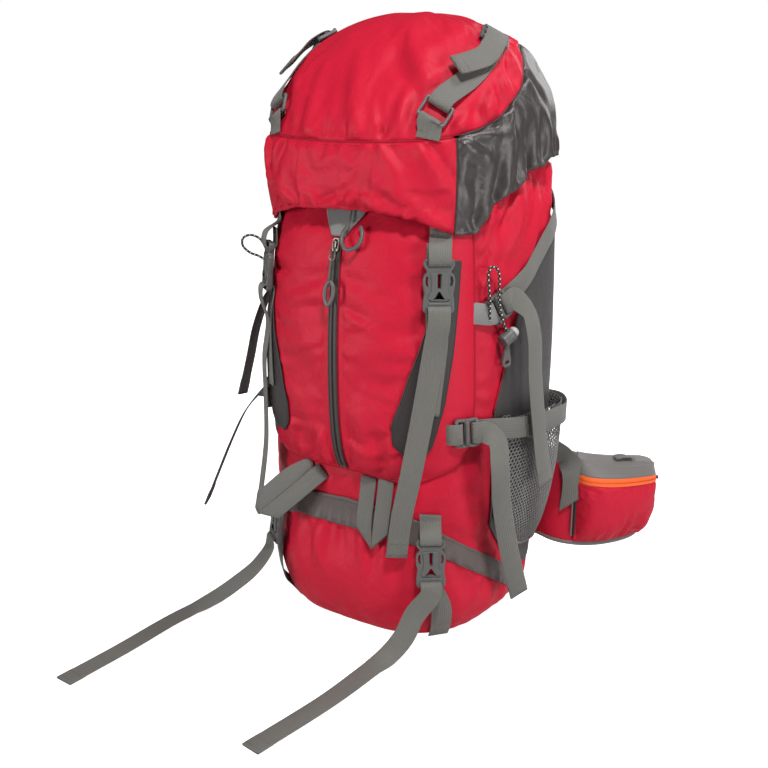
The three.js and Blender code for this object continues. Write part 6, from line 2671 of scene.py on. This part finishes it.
@dataclass
class Harness:
    """Back panel, shoulder straps and grab handle."""

    pad_half: float = 36.0
    pad_low: float = 90.0
    pad_high: float = 490.0
    ribs: int = 4
    handle_at: float = 552.0
    handle_half: float = 46.0
    handle_thick: float = 2.5

    def build(self) -> None:
        """Makes the whole harness."""
        for side in Side:
            ShoulderStrap(side).build()
        self.back()
        self.handle()

    def back(self) -> None:
        """Makes the ribbed back pad."""
        aside = np.linspace(-self.pad_half, self.pad_half, 41)
        z = np.linspace(self.pad_low, self.pad_high, 101)
        u = 180 - aside
        wrapped = np.where(u > 180, u - 360, u)[:, None]
        turns = (z - self.pad_low) / (self.pad_high - self.pad_low) * np.pi * self.ribs
        rib = 3.0 + 2.0 * np.abs(np.sin(turns)) ** 0.6
        edge = np.minimum(1, (self.pad_half + 0.5 - np.abs(aside)) / 5) ** 0.5
        lift = GAP + rib[None, :] * edge[:, None]
        points = BAG.place(wrapped, z[None, :], lift)[::-1]
        under = BAG.place(wrapped, z[None, :], np.full(lift.shape, GAP * 0.7))[::-1]
        piece = kept(padded_sheet("back_pad", points, under), PADDING, "back_panel")

    def handle(self) -> None:
        """Makes the grab handle under the lid."""
        z = self.handle_at
        seat = BAG.point(180 - 22.7, z, 2.5 * GAP + self.handle_thick / 2)[1]
        places = [(self.handle_half * s, seat + 26 * (1 - s * s) ** 0.7, z) for s in np.linspace(-1, 1, 15)]
        route = Route().hanging(places, UP)
        kept(web_piece("grab_handle_web", route, WEB_WIDTH, self.handle_thick), WEB, "grab_handle")


@dataclass
class BeltWing(Sided):
    """A padded belt wing with its zipped pocket, its webbing and its half of the belt."""

    stops: Table = Table(("share", "x", "y", "low", "high"), (
        (0, 92, 109.4, 70, 182), (1 / 6, 128, 108.8, 66, 187), (2 / 6, 160, 106, 62, 190),
        (3 / 6, 190, 121, 58, 184), (4 / 6, 214, 152, 54, 176), (5 / 6, 232, 196, 51, 166),
        (1, 241, 240, 54, 154),
    ))
    thick: float = 9.0
    pocket: tuple[float, float] = (0.45, 0.9875)
    bulge: float = 17.0
    web: float = 38.0
    belt: tuple = ((229.8, 214, 102), (229, 250, 98), (222, 292, 90), (176, 325, 80), (104, 341, 72),
                   (62, 345, 70))
    zip_rise: tuple[float, float] = (0.72, 0.81)
    pouch_low: float = 0.045
    turn_from: float = 0.82
    turns: tuple[float, float] = (24.0, 8.0)
    profile: Table = Table(("rise", "out"), (
        (0, 0), (0.05, 0.02), (0.16, 0.56), (0.3, 0.9), (0.52, 1.0), (0.68, 0.98), (0.78, 0.9), (0.86, 0.64),
        (0.94, 0.26), (1.0, 0.0),
    ))

    def place(self, share: np.ndarray, rise: np.ndarray, out: np.ndarray) -> np.ndarray:
        """Place on the wing.

        Args:
            share: share of the way along the wing.
            rise: share of the way up.
            out: distance out of the wing's middle.

        Returns:
            The place, in millimetres.
        """
        share, rise, out = np.broadcast_arrays(*(np.asarray(value, float) for value in (share, rise, out)))
        at = {name: self.stops.smooth(share, name) for name in ("x", "y", "low", "high")}
        turn = 1 - np.sqrt(1 - np.clip((share - self.turn_from) / (1 - self.turn_from), 0, 1) ** 2)
        low = at["low"] + self.turns[0] * turn
        high = at["high"] - self.turns[1] * turn
        on, back = np.minimum(1, share + 0.05), np.maximum(0, share - 0.05)
        slope = [self.stops.smooth(on, name) - self.stops.smooth(back, name) for name in ("x", "y")]
        slope = unit(np.stack(slope, axis=-1))
        x = self.sign * (at["x"] + slope[..., 1] * out)
        return np.stack([x, at["y"] - slope[..., 0] * out, low + (high - low) * rise], axis=-1)

    def skin(self, along: np.ndarray, rise: np.ndarray, lift: float = 0.0) -> np.ndarray:
        """Place on the wing's pocket.

        Args:
            along: share of the pocket's length.
            rise: share of the way up the wing.
            lift: distance out of the pocket.

        Returns:
            The place, in millimetres.
        """
        start, end = self.pocket
        ends = np.clip(1 - np.abs(2 * along - 1) ** 5, 0, 1) ** 0.8
        out = self.thick / 2 + GAP + 0.4 + TRIM + self.bulge * ends * self.profile.smooth(rise, "out")
        return self.place(start + (end - start) * along, rise, out + lift)

    def build(self) -> None:
        """Makes the wing, its pocket and its webbing."""
        self.wing()
        self.pouch()
        self.zip()
        self.stabiliser()
        self.strap()

    def wing(self) -> None:
        """Makes the padded wing and its bindings."""
        share, rise = np.linspace(0, 1, 60), np.linspace(0, 1, 25)
        crown = 0.45 + 0.55 * np.minimum(1, np.minimum(rise, 1 - rise) / 0.12) ** 0.5
        half = self.thick / 2 * crown[None, :]
        over, under = (self.place(share[:, None], rise[None, :], out) for out in (half, -half))
        piece = kept(padded_sheet(self.named("belt_wing_pad"), over, under), RED, self.named("belt_wing"))
        for label, height, radius in (("low", 0.0, 3.8), ("high", 1.0, 2.6)):
            edge = self.place(share, height, 0.0)
            kept(tube_piece(self.named("belt_binding_" + label), edge, radius), GREY)

    def pouch(self) -> None:
        """Makes the red pocket, puffed out and gathered along its lower edge."""
        low, high = self.pouch_low, self.zip_rise[0]
        along, up = np.meshgrid(np.linspace(0, 1, 57), np.linspace(0, 1, 33), indexing="ij")
        points = self.skin(along, low + (high - low) * up)
        share = np.linspace(0.04, 0.96, 60)
        folds = Puckers(9, 46, 6.5, 3.0, seed=73, slant=0.2).folds(wing_lie(self.skin(share, low)), (0, 1))
        folds += Puckers(6, 30, 7, 1.6, seed=72, slant=0.2).folds(wing_lie(self.skin(share, high)), (0, -1))
        settling = Settling(pressure=1.2, grow=0.03, cap=3.0, frames=12)
        Panel(self.named("belt_pocket_cloth"), self.faced(points), edges_held(along.shape), settling, folds,
              wing_lie, TRIM).build(RED, self.named("belt_pocket"))

    def strip(self, name: str, rises: tuple[float, float], finish: Finish, lift: float) -> None:
        """Makes a strip of cloth along the top of the pocket.

        Args:
            name: first words of the piece's name.
            rises: shares of the way up the wing at its edges.
            finish: its finish.
            lift: distance out of the pocket.
        """
        along, up = np.meshgrid(np.linspace(0.0, 1.0, 60), np.linspace(0, 1, 7), indexing="ij")
        points = self.skin(along, rises[0] + (rises[1] - rises[0]) * up, lift)
        kept(thickened(sheet_piece(self.named(name), self.faced(points)), 1.2), finish)

    def facing(self) -> None:
        """Makes the grey facing that carries the top panel over the wing's upper edge."""
        along = np.linspace(0, 1, 60)
        share = self.pocket[0] + (self.pocket[1] - self.pocket[0]) * along
        rows = [self.skin(along, 0.965, 0.7)]
        over = ((1.0, 4.4), (1.03, 1.5), (1.03, -1.5), (1.0, -4.2))
        rows += [self.place(share, rise, out) for rise, out in over]
        points = self.faced(np.stack(rows, axis=1))
        kept(thickened(sheet_piece(self.named("belt_facing"), points), 1.0), GREY)

    def zip(self) -> None:
        """Makes the orange zip, the grey panel over it, its puller, the end seam and the webbing tab."""
        low, high = self.zip_rise
        middle = (low + high) / 2
        self.strip("belt_zip", (low, high), ORANGE, 0.7)
        self.strip("belt_top_panel", (high, 0.985), GREY, 0.9)
        self.facing()
        along = np.linspace(0.02, 0.98, 160)
        wave = middle + 0.006 * np.where(np.arange(len(along)) % 2, 1.0, -1.0)
        kept(tube_piece(self.named("belt_coil"), self.skin(along, wave, 0.9), 0.5, 5), ORANGE_COIL)
        rows = []
        for rise in (high + 0.03, 0.93):
            line = self.skin(along, rise, 1.0)
            rows.append((line, self.skin(along, rise, 2.0) - line))
        kept(stitch_piece(self.named("belt_panel_stitches"), rows, 3.6), THREAD_GREY)
        end = self.skin(np.array([0.9, 0.94, 0.975]), middle, 2.4)
        kept(tube_piece(self.named("belt_puller"), spline(end, CORD_STEP)[0], 1.7), BLACK)
        seam = np.linspace(0.1, 0.6, 30)
        for name, share, radius, finish in (("seam", 0.0, 1.7, BLACK), ("piping", -0.03, 1.2, GREY)):
            line = self.skin(np.full(len(seam), share), seam, 0.6)
            kept(tube_piece(self.named("belt_" + name), line, radius), finish)
        across = self.place(0.7, 1.0, 1.0) - self.place(0.7, 1.0, 0.0)
        tab = Route()
        for share, rise in ((0.67, 1.2), (0.71, 3.4), (0.75, 3.4), (0.79, 1.2)):
            tab.hanging([self.place(share, 1.0, 5.0) + UP * rise], across)
        kept(web_piece(self.named("belt_tab"), tab, 14), WEB)

    def stabiliser(self) -> None:
        """Makes the webbing that steadies the wing against the bag, folded over at its end."""
        route = Route()
        stops = [(0.31, 1.0, 6.6), (0.38, 0.96, 8.4), (0.425, 0.84, 11), (0.435, 0.66, 11), (0.43, 0.47, 9.6)]
        sides = [(0.3, 0.8), (0.4, 0.7), (0.9, 0.5), (1, 0.1), (1, 0)]
        for (share, rise, out), (forward, down) in zip(stops, sides):
            here = self.place(share, rise, out)
            ahead = unit(self.place(share + 0.02, rise, out) - here)
            route.hanging([here], ahead * forward - UP * down)
        kept(web_piece(self.named("belt_stabiliser"), route, 31, mitre=0.8), WEB)

    def strap(self) -> None:
        """Makes this half of the belt, from inside the wing to the buckle."""
        front = BELT_BUCKLE.thick / 2 + WEB_LIFT
        slot = BELT_BUCKLE.slot_at
        y, z = BELT_BUCKLE_AT
        places = list(self.belt)
        places += [(x, y + out, z) for x, out in ((48, front), (slot, front), (slot, -front), (50, -front))]
        route = Route().hanging(np.array(places) * (self.sign, 1, 1), UP)
        kept(web_piece(self.named("belt_web"), route, self.web), WEB, self.named("belt_strap"))


BELT_BUCKLE = BuckleShape(width=48, length=78, slot_at=33, under=-BUCKLE.thick / 2)
BELT_BUCKLE_AT = (345.0, 70.0)


@dataclass
class HipBelt:
    """Padded wings with zipped pockets, and a closed webbing loop with its buckle."""

    buckle: BuckleShape = BELT_BUCKLE

    def build(self) -> None:
        """Makes both wings and the belt's buckle."""
        for side in Side:
            BeltWing(side).build()
        matrix = np.eye(4)
        matrix[:3, :3] = np.array([(0, 0, 1), (1, 0, 0), (0, 1, 0)], float).T
        matrix[:3, 3] = (0, *BELT_BUCKLE_AT)
        self.buckle.fitted("belt_buckle", matrix)


def main() -> None:
    """Builds the studio and the pack's sub-assemblies in order."""
    logging.basicConfig(level=logging.INFO, format="%(message)s")
    Studio().build()
    for side in Side:
        UpperStrap(side).cord()
    order = (Bag, SidePanel, NetPocket, FrontPocket, Lid, LidStrap, BottomStrap, UpperStrap, LowerStrap,
             ToolLoop, LidTopStrap, Harness, HipBelt)
    for kind in order:
        LOG.info("building %s", kind.__name__)
        for part in [kind(side) for side in Side] if issubclass(kind, Sided) else [kind()]:
            part.build()


if __name__ == "__main__":
    main()
